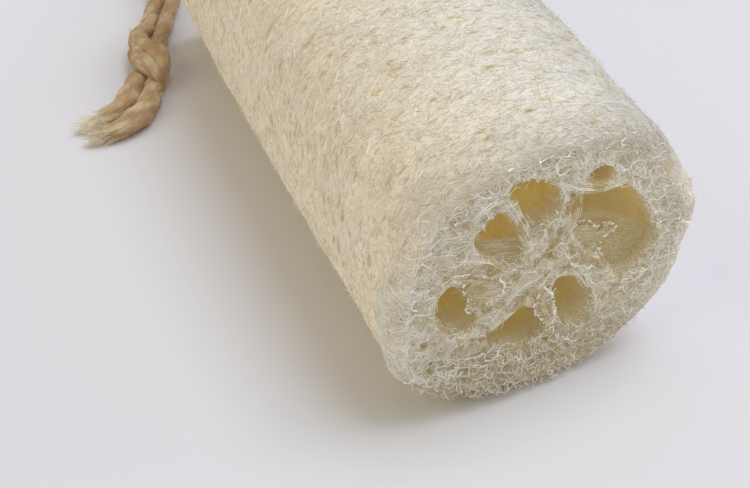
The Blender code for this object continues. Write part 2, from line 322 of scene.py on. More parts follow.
class GeometryTree(Graph):
    """A Geometry Nodes tree that takes one mesh and named sizes."""

    def __init__(self, name: str, sizes: Sizes) -> None:
        """Makes the tree's sockets.

        Args:
            name: the tree's name.
            sizes: the named inputs with their usual values.
        """
        tree = bpy.data.node_groups.new(name, "GeometryNodeTree")
        tree.is_modifier = True
        super().__init__(tree)
        tree.interface.new_socket("Geometry", in_out="INPUT", socket_type="NodeSocketGeometry")
        for label, usual in sizes.items():
            kind = "NodeSocketInt" if isinstance(usual, int) else "NodeSocketFloat"
            tree.interface.new_socket(label, in_out="INPUT", socket_type=kind).default_value = usual
        tree.interface.new_socket("Geometry", in_out="OUTPUT", socket_type="NodeSocketGeometry")
        self._inputs = tree.nodes.new("NodeGroupInput")

    def size(self, name: str) -> Value:
        """The value of a named input."""
        return Value(self, self._find(self._inputs.outputs, name))

    def place(self) -> Value:
        """The position of each point."""
        return self.add("GeometryNodeInputPosition")

    def per_strand(self) -> Value:
        """The number of the curve that a point is on."""
        return self.add("GeometryNodeFieldOnDomain", {"domain": "CURVE", "data_type": "INT"},
                        {"Value": self.add("GeometryNodeInputIndex")})

    def chance(self, number: Value | None, seed: int, low: float = 0.0, high: float = 1.0) -> Value:
        """A random number for each point or strand.

        Args:
            number: the number of the strand, or None for a draw for each point.
            seed: sets this draw apart from the others.
            low: the lowest number.
            high: the highest number.

        Returns:
            The random number.
        """
        values = {"Min": low, "Max": high, "Seed": seed}
        if number is not None:
            values["ID"] = number
        return self.add("FunctionNodeRandomValue", {"data_type": "FLOAT"}, values, "Value")

    def tubes(self, curves: Value, radius: Value, tone: Value, sides: Value) -> Value:
        """Round meshes along curves.

        Args:
            curves: the curves.
            radius: their radius at each point, in metres.
            tone: a number from 0 to 1 that the finish reads as the attribute "tone".
            sides: how many sides each tube has.

        Returns:
            The mesh.
        """
        kept = self.add("GeometryNodeStoreNamedAttribute",
                        {"data_type": "FLOAT", "domain": "POINT"},
                        {"Geometry": curves, "Name": "tone", "Value": tone})
        circle = self.add("GeometryNodeCurvePrimitiveCircle", {"mode": "RADIUS"},
                          {"Resolution": sides, "Radius": 1.0})
        mesh = self.add("GeometryNodeCurveToMesh", values={
            "Curve": kept, "Profile Curve": circle, "Scale": radius, "Fill Caps": True})
        return self.add("GeometryNodeSetShadeSmooth", values={"Geometry": mesh})

    def close(self, geometry: Value, material: Material) -> None:
        """Ends the tree: instances made real, and the material set.

        Args:
            geometry: the geometry that the tree gives.
            material: its material.
        """
        real = self.add("GeometryNodeRealizeInstances", values={"Geometry": geometry})
        dressed = self.add("GeometryNodeSetMaterial",
                           values={"Geometry": real, "Material": material})
        out = self.tree.nodes.new("NodeGroupOutput")
        self.tree.links.new(dressed.socket, out.inputs[0])

    def grow(self, source: Object, name: str, sizes: Sizes) -> Object:
        """Runs the tree on an object's mesh.

        Args:
            source: the object that the tree reads.
            name: the name of the new piece.
            sizes: values for the named inputs.

        Returns:
            A new object that holds the result as a plain mesh.
        """
        modifier = source.modifiers.new(self.tree.name, "NODES")
        modifier.node_group = self.tree
        sockets = {item.name: item.identifier for item in self.tree.interface.items_tree
                   if item.in_out == "INPUT"}
        for label, value in sizes.items():
            modifier[sockets[label]] = value
        graph = bpy.context.evaluated_depsgraph_get()
        mesh = bpy.data.meshes.new_from_object(source.evaluated_get(graph), depsgraph=graph)
        source.modifiers.remove(modifier)
        return link(name, mesh)


def link(name: str, data: ID) -> Object:
    """Puts a mesh, a light or a camera in the scene.

    Args:
        name: its name.
        data: its data, which takes the name too.

    Returns:
        The object.
    """
    data.name = name
    obj = bpy.data.objects.new(name, data)
    bpy.context.scene.collection.objects.link(obj)
    return obj


def discard(obj: Object) -> None:
    """Removes a helper object."""
    bpy.data.objects.remove(obj, do_unlink=True)


def finished(bm: BMesh, name: str) -> Mesh:
    """Ends the making of a mesh.

    Args:
        bm: the mesh in the making, which is freed.
        name: the new mesh's name.

    Returns:
        The mesh.
    """
    mesh = bpy.data.meshes.new(name)
    bm.to_mesh(mesh)
    bm.free()
    return mesh


def keep_on(mesh: Mesh, name: str, values: Sequence[float]) -> None:
    """Keeps a number for each point of a mesh as an attribute."""
    mesh.attributes.new(name, "FLOAT", "POINT").data.foreach_set("value", values)


def hand_over(piece: Object, *nodes: str, slot: str = "loofah_fibre") -> None:
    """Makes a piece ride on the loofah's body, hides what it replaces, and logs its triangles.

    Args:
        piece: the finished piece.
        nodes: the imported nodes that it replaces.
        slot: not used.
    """
    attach(piece, BODY)
    if nodes:
        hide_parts(*nodes)
    piece.data.calc_loop_triangles()
    log.info("%s: %d triangles", piece.name, len(piece.data.loop_triangles))


def held(share: float) -> float:
    """A number held between 0 and 1."""
    return min(1.0, max(0.0, share))


def eased(share: float | Places) -> float | Places:
    """A share from 0 to 1 with soft ends."""
    return share * share * (3 - 2 * share)


def noise_over(places: Places, level: float, pitch: float) -> Places:
    """Smooth noise at some places in X and Z, with features about a pitch apart."""
    return np.array([noise.noise(Vector((x, z, level)) / pitch) for x, z in places])


def tree_of(points: Places) -> KDTree:
    """A tree that finds the nearest of some points in space, by their number.

    Args:
        points: the points, one row each.

    Returns:
        The tree.
    """
    tree = KDTree(len(points))
    for number, point in enumerate(points):
        tree.insert(point, number)
    tree.balance()
    return tree


def triangles_over(places: Sequence[Vector], edges: Sequence[tuple[int, int]] = ()) -> Places:
    """The triangles between some places in a plane.

    Args:
        places: the places.
        edges: pairs of places that have to be joined.

    Returns:
        The numbers of each triangle's three corners, one row each.
    """
    _, _, triangles, origins, _, _ = delaunay_2d_cdt(places, edges, [], 0, TIGHT)
    return np.array([[origins[i][0] for i in triangle] for triangle in triangles])


def curve_through(knots: Places, closed: bool) -> Places:
    """Fine points of the smooth curve through some knots.

    Args:
        knots: the knots, one row each.
        closed: whether the curve runs on from the last knot to the first.

    Returns:
        The points, one row each, with the last one on the curve's end.
    """
    if closed:
        before, here, after, later = (np.roll(knots, shift, axis=0) for shift in (1, 0, -1, -2))
    else:
        held_on = np.vstack((2 * knots[0] - knots[1], knots, 2 * knots[-1] - knots[-2]))
        before, here, after, later = held_on[:-3], held_on[1:-2], held_on[2:-1], held_on[3:]
    t = np.arange(FINE_STEPS)[:, None, None] / FINE_STEPS
    fine = 0.5 * (2 * here + (after - before) * t
                  + (2 * before - 5 * here + 4 * after - later) * t ** 2
                  + (3 * here - before - 3 * after + later) * t ** 3)
    curve = fine.transpose(1, 0, 2).reshape(-1, knots.shape[1])
    return np.vstack((curve, knots[:1] if closed else knots[-1:]))


def spaced(curve: Places, spacing: float, least: int) -> Places:
    """Points an even distance apart along a curve.

    Args:
        curve: the curve's fine points.
        spacing: about how far apart the points come to lie.
        least: the smallest number of steps.

    Returns:
        The points, from one end of the curve to the other.
    """
    reach = np.concatenate(([0], np.cumsum(np.linalg.norm(np.diff(curve, axis=0), axis=1))))
    want = np.linspace(0, reach[-1], max(least, round(reach[-1] / spacing)) + 1)
    return np.stack([np.interp(want, reach, column) for column in curve.T], axis=1)


class Outline:
    """A closed line in the plane of a cut end, as an array of X and Z."""

    def __init__(self, points: Places) -> None:
        """Keeps the points, one row each."""
        self.points = np.asarray(points, float)

    @classmethod
    def smooth(cls, knots: Sequence[tuple[float, float]], spacing: float) -> "Outline":
        """The smooth line through some knots in millimetres, with points a spacing apart."""
        return cls(spaced(curve_through(np.array(knots) * MM, True), spacing, 8)[:-1])

    def scaled(self, factor: float, centre: tuple[float, float]) -> "Outline":
        """The line drawn together to a centre by a factor."""
        return Outline(np.array(centre) + factor * (self.points - np.array(centre)))

    def widened(self, amounts: float | Places) -> "Outline":
        """The line moved outwards.

        Args:
            amounts: how far, as one number or one for each point.

        Returns:
            The new line.
        """
        following, before = np.roll(self.points, -1, 0), np.roll(self.points, 1, 0)
        along = following - before
        along /= np.linalg.norm(along, axis=1)[:, None]
        x, z = self.points.T
        turn = np.sum(x * np.roll(z, -1) - z * np.roll(x, -1))
        outward = math.copysign(1, turn) * np.stack((along[:, 1], -along[:, 0]), axis=1)
        return Outline(self.points + outward * np.reshape(amounts, (-1, 1)))

    def contains(self, places: Places) -> Places:
        """Whether each place lies inside the line.

        Args:
            places: the places, one row each.

        Returns:
            True or False for each.
        """
        hit = np.zeros(len(places), bool)
        x, z = places[:, 0], places[:, 1]
        for (ax, az), (bx, bz) in zip(self.points, np.roll(self.points, -1, 0)):
            if az != bz:
                hit ^= ((az > z) != (bz > z)) & (x < ax + (bx - ax) * (z - az) / (bz - az))
        return hit

    def distance(self, places: Places) -> Places:
        """How far each place lies from the line.

        Args:
            places: the places, one row each.

        Returns:
            The distance of each.
        """
        best = np.full(len(places), np.inf)
        for a, b in zip(self.points, np.roll(self.points, -1, 0)):
            along = b - a
            share = np.clip((places - a) @ along / (along @ along), 0, 1)
            gap = np.linalg.norm(places - a - share[:, None] * along, axis=1)
            best = np.minimum(best, gap)
        return best


def between(rim: Outline, mouths: Iterable[Outline], places: Places) -> Places:
    """Whether each place lies inside the rim and outside the mouths."""
    return rim.contains(places) & ~reduce(np.logical_or, (m.contains(places) for m in mouths))


CHAMBERS: dict[str, tuple[tuple[float, float], ...]] = {
    "top": ((-10.3, 56.8), (-6.0, 57.8), (-1.8, 55.3), (0.6, 51.2), (-0.4, 46.7), (-5.5, 47.8),
            (-8.6, 52.2)),
    "upper_left": ((-16.8, 45.5), (-13.9, 50.5), (-11.2, 51.8), (-9.2, 47.8), (-6.8, 43.0),
                   (-7.0, 37.5), (-11.8, 39.6)),
    "right": ((4.4, 50.0), (9.7, 50.6), (14.7, 49.5), (19.2, 44.3), (23.3, 36.5), (24.2, 29.0),
              (21.5, 23.4), (16.7, 24.3), (12.4, 31.5), (6.4, 38.1), (4.1, 44.3)),
    "left": ((-24.3, 30.0), (-23.3, 35.0), (-21.2, 36.6), (-18.8, 33.6), (-16.1, 29.1),
             (-16.8, 25.1), (-21.3, 24.6)),
    "bottom": ((-12.4, 18.4), (-8.4, 22.9), (-5.1, 24.8), (-1.8, 22.2), (0.3, 18.4),
               (-0.8, 14.7), (-5.3, 14.2), (-9.8, 15.6)),
    "lower_right": ((1.6, 26.8), (1.8, 30.0), (4.4, 30.6), (7.8, 28.0), (10.4, 22.5),
                    (11.6, 17.0), (9.8, 14.3), (6.8, 14.6), (3.4, 19.6)),
}
POCKET: tuple[tuple[float, float], ...] = (
    (6.2, 55.0), (7.9, 55.7), (9.7, 56.1), (11.3, 54.3), (11.0, 52.7), (9.3, 52.2), (7.5, 53.2))
HOLES: tuple[tuple[float, float, float], ...] = (
    (2.5, 48.2, 1.1), (3.1, 50.7, 0.8), (0.1, 31.1, 0.8), (-0.3, 28.5, 0.9), (-9.6, 31.3, 0.9),
    (-12.7, 26.5, 1.1), (-21.4, 52.2, 0.7), (-22.2, 38.7, 0.9), (-26.5, 22.0, 0.8),
    (-24.0, 13.0, 0.8), (-16.0, 9.5, 1.0), (-8.0, 10.5, 1.1), (2.0, 11.5, 1.2), (10.5, 14.5, 1.0),
    (0.5, 36.5, 0.9), (7.5, 37.5, 0.8), (-7.5, 55.5, 0.8), (-15.0, 51.0, 0.7))
SILLS: dict[str, tuple[float, float]] = {
    "top": (-60, 1.2), "upper_left": (-80, 3.6), "right": (-70, 4.5), "left": (-80, 2.2),
    "bottom": (-80, 1.6), "lower_right": (-60, 3.8),
}


@dataclass(frozen=True)
class LoofahForm:
    """The loofah's own shape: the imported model's sizes, with a fuller rim."""

    length: float = 155 * MM
    radius: float = 34 * MM
    axis_x: float = -0.6 * MM
    axis_z: float = 32.2 * MM
    bulge: float = 0.05
    far_taper: float = 0.03
    lobes: tuple[tuple[int, float, float], ...] = (
        (2, 0.002, -0.008), (3, 0.003, -0.008), (4, -0.022, -0.006), (5, 0.015, -0.002))
    rim_radius: float = 3.6 * MM
    heart: tuple[float, float] = (-0.6 * MM, 30 * MM)
    chamber_taper: float = 0.08
    pocket_depth: float = 12 * MM
    swell: float = 0.24 * MM
    swell_pitch: float = 9 * MM
    rim_swell: float = 0.9 * MM
    rim_reach: float = 12 * MM
    open_from: float = -0.30
    open_lean: float = 0.12
    open_rise: float = 0.95
    open_over: float = 0.65
    bulges: tuple[tuple[float, float, float], ...] = (
        (-2.68, 0.26, 1.5 * MM), (0.24, 0.20, 1.2 * MM), (1.05, 0.2, 0.7 * MM))

    def section_radius(self, angle: float) -> float:
        """The radius of the near end at an angle round the axis."""
        lobes = sum(c * math.cos(n * angle) + s * math.sin(n * angle) for n, c, s in self.lobes)
        return self.radius * (1 + lobes)

    def station_scale(self, y: float) -> float:
        """How large the section is at y: it swells half way and narrows to the far end."""
        share = y / self.length + 0.5
        return 1 + self.bulge * 4 * share * (1 - share) - self.far_taper * share

    def skin_point(self, angle: float, y: float, inset: float = 0.0) -> Vector:
        """A point of the uneven skin, flat where it meets the floor.

        Args:
            angle: the angle round the axis.
            y: the place along the axis.
            inset: how far it lies inside the skin.

        Returns:
            The point.
        """
        scale = self.station_scale(y)
        radius = self.section_radius(angle) - inset
        x = self.axis_x + scale * radius * math.cos(angle)
        z = scale * (self.axis_z + radius * math.sin(angle))
        near = math.exp(-(y / self.length + 0.5) * self.length / self.rim_reach)
        uneven = (self.swell + self.rim_swell * near) * noise.noise(
            Vector((x, y, z)) / self.swell_pitch)
        for middle, width, amount in self.bulges:
            off = math.remainder(angle - middle, 2 * math.pi) / width
            uneven += near ** 1.5 * amount * math.exp(-off * off)
        x += uneven * math.cos(angle)
        z += uneven * math.sin(angle)
        return Vector((x, y, max(z, FLOOR_GAP)))

    def end_rim(self, end: End) -> Outline:
        """The outline where the rounded rim meets the cut face.

        Args:
            end: which end.

        Returns:
            The outline.
        """
        y = end.value * self.length / 2
        ring = [self.skin_point(column_angle(i), y, self.rim_radius) for i in range(COLUMNS)]
        return Outline([(p.x, p.z) for p in ring])

    def end_mouths(self, end: End) -> list[Outline]:
        """The outlines of what opens into a cut end.

        Args:
            end: which end.

        Returns:
            The chambers' outlines, and the pocket's at the near end.
        """
        narrowing = 1 - self.chamber_taper * (0.5 + 0.5 * end.value)
        mouths = [Outline.smooth(knots, MOUTH_SPACING).scaled(narrowing, self.heart)
                  for knots in CHAMBERS.values()]
        return mouths + [Outline.smooth(POCKET, MOUTH_SPACING)] * (end is End.NEAR)

    def reach(self, x: float, z: float) -> float:
        """How far a place lies from the axis, as a share of the near end's radius there."""
        across, up = x - self.axis_x, z - self.axis_z
        return math.hypot(across, up) / self.section_radius(math.atan2(up, across))

    def openness(self, places: Places) -> Places:
        """How open the net of a cut end is.

        Args:
            places: places in X and Z, one row each.

        Returns:
            The openness of each: 0 where it is felted over, and 1 at the low rim.
        """
        across = (places - np.array((self.axis_x, self.axis_z))) / self.radius
        share = self.open_from - self.open_lean * across[:, 0] - self.open_rise * across[:, 1]
        return eased(np.clip(share / self.open_over, 0, 1))


def column_angle(i: int) -> float:
    """The angle round the axis of the skin's column i; the first runs along the underside."""
    return 2 * math.pi * i / COLUMNS - 0.5 * math.pi


@dataclass(frozen=True)
class CellRelief:
    """How the flesh between the strands of a cut end sinks into cells of many sizes."""

    form: LoofahForm
    end: End
    tightest: float = 1.3 * MM
    widest: float = 3.7 * MM
    margin: float = 4 * MM
    tries: int = 9000
    depths: tuple[tuple[float, float], ...] = (
        (0.20, 0.4 * MM), (0.62, 1.2 * MM), (0.88, 2.2 * MM), (1.0, 3.6 * MM))
    wall: float = 0.2 * MM
    slope: float = 1.1 * MM
    warp: float = 0.9 * MM
    warp_pitch: float = 2.4 * MM
    sink: float = 0.5 * MM
    mound: float = 0.6 * MM
    mound_pitch: float = 3.2 * MM
    edge_zone: float = 1.2 * MM
    full_depth: float = 3.0 * MM
    seed: int = 5

    def wander(self, places: Places) -> Places:
        """How far the cells' walls wander aside at some places."""
        moves = [noise.noise_vector(Vector((x, z, 0.01)) / self.warp_pitch) for x, z in places]
        return np.array([(move.x, move.y) for move in moves]) * self.warp

    def centres(self) -> tuple[Places, Places]:
        """Where the cells lie.

        Returns:
            The centres in X and Z, and how deep each cell is.
        """
        rng = np.random.default_rng(self.seed + self.end.value)
        around = self.form.end_rim(self.end).widened(self.margin)
        low, high = around.points.min(0), around.points.max(0)
        spots = rng.uniform(low, high, (self.tries, 2))
        spots = spots[around.contains(spots)]
        painted_shade_gaps = self.tightest + (self.widest - self.tightest) * rng.uniform(0, 1, len(spots)) ** 1.6
        kept = np.zeros(len(spots), bool)
        for i, spot in enumerate(spots):
            away = np.linalg.norm(spots[kept] - spot, axis=1)
            kept[i] = bool(np.all(away > 0.5 * (painted_shade_gaps[i] + painted_shade_gaps[kept])))
        centres = spots[kept]
        drawn = rng.uniform(0, 1, len(centres))
        steps, depths = np.array(self.depths).T
        deep = depths[np.searchsorted(steps, drawn)] * rng.uniform(0.8, 1.2, len(centres))
        return centres, deep * (0.3 + 0.7 * self.form.openness(centres))

    def depth(self, places: Places, edge: Places) -> tuple[Places, Places]:
        """How deep the flesh lies at some places.

        Args:
            places: the places in X and Z.
            edge: how far each lies from the rim and the mouths.

        Returns:
            The depths, and how far each place is sunk as a share from 0 to 1.
        """
        centres, depths = self.centres()
        tree = tree_of(np.column_stack((centres, np.zeros(len(centres)))))
        cells = []
        for x, z in places + self.wander(places):
            (_, first, near), (_, _, next_near) = tree.find_n((x, z, 0.0), 2)
            cells.append(depths[first] * eased(held((next_near - near - self.wall) / self.slope)))
        mounds = self.sink + self.mound * noise_over(places, 0.02, self.mound_pitch)
        depth = (mounds + np.array(cells)) * np.clip(edge / self.edge_zone, 0, 1)
        return depth, np.clip(depth / self.full_depth, 0, 1)


@dataclass(frozen=True)
class LoofahBody:
    """The closed body under the fibres: the skin, both cut ends and the chamber walls."""

    form: LoofahForm
    rows: int = 130
    rim_rings: int = 6
    face_spacing: float = 0.55 * MM
    far_spacing: float = 0.9 * MM
    flare: float = 0.7 * MM
    ragged: float = 0.45 * MM
    ragged_pitch: float = 1.4 * MM
    lip: float = 1.6 * MM
    lumps: float = 0.45 * MM
    lump_pitch: float = 6 * MM
    ridges: float = 0.16 * MM
    ridge_run: float = 14 * MM
    sill_depth: float = 4.5 * MM
    mouth_stations: tuple[float, ...] = (0.0, 0.4, 0.9, 1.5, 2.3, 3.3, 4.6, 6.2, 8.2, 10.6, 13.5,
                                         17.0, 21.0, 26.0, 32.0, 40.0, 50.0, 62.0)

    def skin_rows(self, bm: BMesh) -> list[list[BMVert]]:
        """Adds the skin from rim to rim, with its UV map.

        Args:
            bm: the mesh.

        Returns:
            The skin's rings of vertices.
        """
        form = self.form
        half = form.length / 2
        stations = []
        for step in range(self.rim_rings + 1):
            bend = 0.5 * math.pi * (1 - step / self.rim_rings)
            stations.append((-half + form.rim_radius * (1 - math.sin(bend)),
                             form.rim_radius * (1 - math.cos(bend))))
        inner = form.length - 2 * form.rim_radius
        middle = [(-inner / 2 + inner * k / self.rows, 0.0) for k in range(1, self.rows)]
        stations = stations + middle + [(-y, inset) for y, inset in reversed(stations)]
        rings = []
        for y, inset in stations:
            rings.append([bm.verts.new(form.skin_point(column_angle(i), y, inset))
                          for i in range(COLUMNS)])
        flat = bm.loops.layers.uv.new("skin")
        around = 2 * math.pi * form.radius / COLUMNS
        along = [y + math.copysign(inset, y) for y, inset in stations]
        for first, second, low, high in zip(rings, rings[1:], along, along[1:]):
            for i, face in enumerate(self.bridge(bm, first, second, Surface.SKIN)):
                corners = ((i, low), (i + 1, low), (i + 1, high), (i, high))
                for loop, (column, height) in zip(face.loops, corners):
                    loop[flat].uv = (column * around, height)
        return rings

    @staticmethod
    def bridge(bm: BMesh, first: Sequence[BMVert],
               second: Sequence[BMVert], kind: Surface) -> list[BMFace]:
        """Adds a band of faces between two rings.

        Args:
            bm: the mesh.
            first: one ring.
            second: the ring that follows, with as many vertices.
            kind: the surface that the band is part of.

        Returns:
            The faces.
        """
        faces = []
        for i in range(len(first)):
            k = (i + 1) % len(first)
            faces.append(bm.faces.new((first[i], first[k], second[k], second[i])))
            faces[-1].material_index = kind
        return faces

    def chamber(self, bm: BMesh, outline: Outline, stations: Sequence[float],
                tapers: bool, sill: tuple[float, float] = (0.0, 0.0)
                ) -> list[list[BMVert]]:
        """Adds a chamber's wall.

        Args:
            bm: the mesh.
            outline: the chamber's line at the near end.
            stations: the places along Y of its rings.
            tapers: whether it narrows to the far end, as the through chambers do.
            sill: the side with a sill inside each mouth, in degrees, and its height in mm.

        Returns:
            The rings.
        """
        form = self.form
        half = form.length / 2
        rings = []
        turn, height = math.radians(sill[0]), sill[1] * MM
        side = np.array((math.cos(turn), math.sin(turn)))
        for y in stations:
            depth = half - abs(y) if tapers else half + y
            widen = []
            for x, z in outline.points:
                teeth = noise.noise(Vector((x, z, y)) / self.ragged_pitch) * self.ragged
                lump = noise.noise(Vector((x, z, 0.35 * y)) / self.lump_pitch) * self.lumps
                ridge = noise.noise(Vector((x / MM, z / MM, y / self.ridge_run))) * self.ridges
                fade = math.exp(-depth / self.lip)
                widen.append(fade * (self.flare + 1.6 * teeth) + (1 - fade) * (lump + ridge))
            narrowing = 1 - form.chamber_taper * (y / form.length + 0.5) if tapers else 1.0
            places = outline.widened(np.array(widen)).scaled(narrowing, form.heart).points
            share = (places - places.mean(0)) @ side
            share = np.clip(share / share.max(), 0, 1) ** 1.5
            rise = height * (depth / self.sill_depth) * math.exp(1 - depth / self.sill_depth)
            places = places - (share * rise)[:, None] * side
            rings.append([bm.verts.new((x, y, z)) for x, z in places])
        for first, second in zip(rings, rings[1:]):
            self.bridge(bm, first, second, Surface.CHAMBER)
        return rings

    def face(self, bm: BMesh, end: End, rim: Sequence[BMVert], mouths: Sequence[Sequence[BMVert]],
             sunk: dict[BMVert, float]) -> None:
        """Adds a cut end between the rim and the mouths, sunk into its cells.

        Args:
            bm: the mesh.
            end: which end.
            rim: the ring at the inner edge of the rounded rim.
            mouths: the rings of the chambers' mouths.
            sunk: takes how far each new vertex is sunk, as a share.
        """
        rings = (rim, *mouths)
        lines = [Outline([(v.co.x, v.co.z) for v in ring]) for ring in rings]
        verts = [v for ring in rings for v in ring]
        coords = [p for line in lines for p in line.points]
        edges = []
        for ring in rings:
            start = len(edges)
            edges += [(start + i, start + (i + 1) % len(ring)) for i in range(len(ring))]
        spacing = self.face_spacing if end is End.NEAR else self.far_spacing
        places = grid_over(lines[0], spacing)
        places = places[between(lines[0], lines[1:], places)]
        edge = np.min([line.distance(places) for line in lines], axis=0)
        places, edge = places[edge > 0.4 * spacing], edge[edge > 0.4 * spacing]
        depths, shares = CellRelief(self.form, end).depth(places, edge)
        y = end.value * self.form.length / 2
        for (x, z), depth, share in zip(places, depths, shares):
            vert = bm.verts.new((x, y - end.value * depth, z))
            sunk[vert] = share
            verts.append(vert)
        flat = np.array([*coords, *places])
        corners = triangles_over([Vector(p) for p in flat], edges)
        for triangle in corners[between(lines[0], lines[1:], flat[corners].mean(axis=1))]:
            bm.faces.new([verts[i] for i in triangle]).material_index = Surface.FLESH

    def build(self, finishes: Sequence[Material]) -> Object:
        """Builds the body.

        Args:
            finishes: the materials of the skin, the cut flesh and the chambers.

        Returns:
            The body.
        """
        form = self.form
        half = form.length / 2
        bm = bmesh.new()
        sunk: dict[BMVert, float] = {}
        skin = self.skin_rows(bm)
        near = [-half + d * MM for d in self.mouth_stations]
        stations = near + [-y for y in reversed(near)]
        near_mouths, far_mouths = [], []
        for name, knots in CHAMBERS.items():
            outline = Outline.smooth(knots, MOUTH_SPACING)
            rings = self.chamber(bm, outline, stations, True, SILLS[name])
            near_mouths.append(rings[0])
            far_mouths.append(rings[-1])
        short = [y for y in near if y < -half + form.pocket_depth]
        pocket = self.chamber(bm, Outline.smooth(POCKET, MOUTH_SPACING), short, False)
        bm.faces.new(pocket[-1]).material_index = Surface.CHAMBER
        near_mouths.append(pocket[0])
        self.face(bm, End.NEAR, skin[0], near_mouths, sunk)
        self.face(bm, End.FAR, skin[-1], far_mouths, sunk)
        bmesh.ops.recalc_face_normals(bm, faces=bm.faces)
        bm.verts.index_update()
        shares = np.zeros(len(bm.verts), np.float32)
        for vert, share in sunk.items():
            shares[vert.index] = share
        mesh = finished(bm, "loofah_body")
        keep_on(mesh, "sunk", shares)
        mesh.shade_smooth()
        for finish in finishes:
            mesh.materials.append(finish)
        return link("loofah_body", mesh)

    @staticmethod
    def guide(body: Object, name: str, weight: Callable[[Vector, int], float]) -> Object:
        """A helper mesh of some of the body's faces, to lay fibres on.

        Args:
            body: the finished body.
            name: the helper's name.
            weight: takes a face's middle and its surface, and returns how densely fibres
                lie there from 0 to 1; faces with 0 are left out, and fewer lie where the
                flesh is sunk.

        Returns:
            The helper, with the weights as the attribute "weight".
        """
        bm = bmesh.new()
        bm.from_mesh(body.data)
        layer = bm.faces.layers.float.new("weight")
        sunk = bm.verts.layers.float.get("sunk")
        drop = []
        for face in bm.faces:
            share = sum(v[sunk] for v in face.verts) / len(face.verts) if sunk else 0.0
            face[layer] = weight(face.calc_center_median(), face.material_index) * (
                1 - 0.85 * min(1.0, 1.4 * share))
            if face[layer] <= 0:
                drop.append(face)
        bmesh.ops.delete(bm, geom=drop, context="FACES")
        return link(name, finished(bm, name))


def grid_over(line: Outline, spacing: float) -> Places:
    """A slightly wandering triangular grid of places over a closed line.

    Args:
        line: the line.
        spacing: how far apart the places lie.

    Returns:
        The places.
    """
    rng = np.random.default_rng(3)
    low, high = line.points.min(0), line.points.max(0)
    xs = np.arange(low[0], high[0], spacing)
    zs = np.arange(low[1], high[1], spacing * math.sqrt(3) / 2)
    x, z = np.meshgrid(xs, zs)
    x = x + 0.5 * spacing * (np.arange(len(zs)) % 2)[:, None]
    places = np.stack((x, z), axis=-1).reshape(-1, 2)
    return places + rng.uniform(-0.2, 0.2, places.shape) * spacing


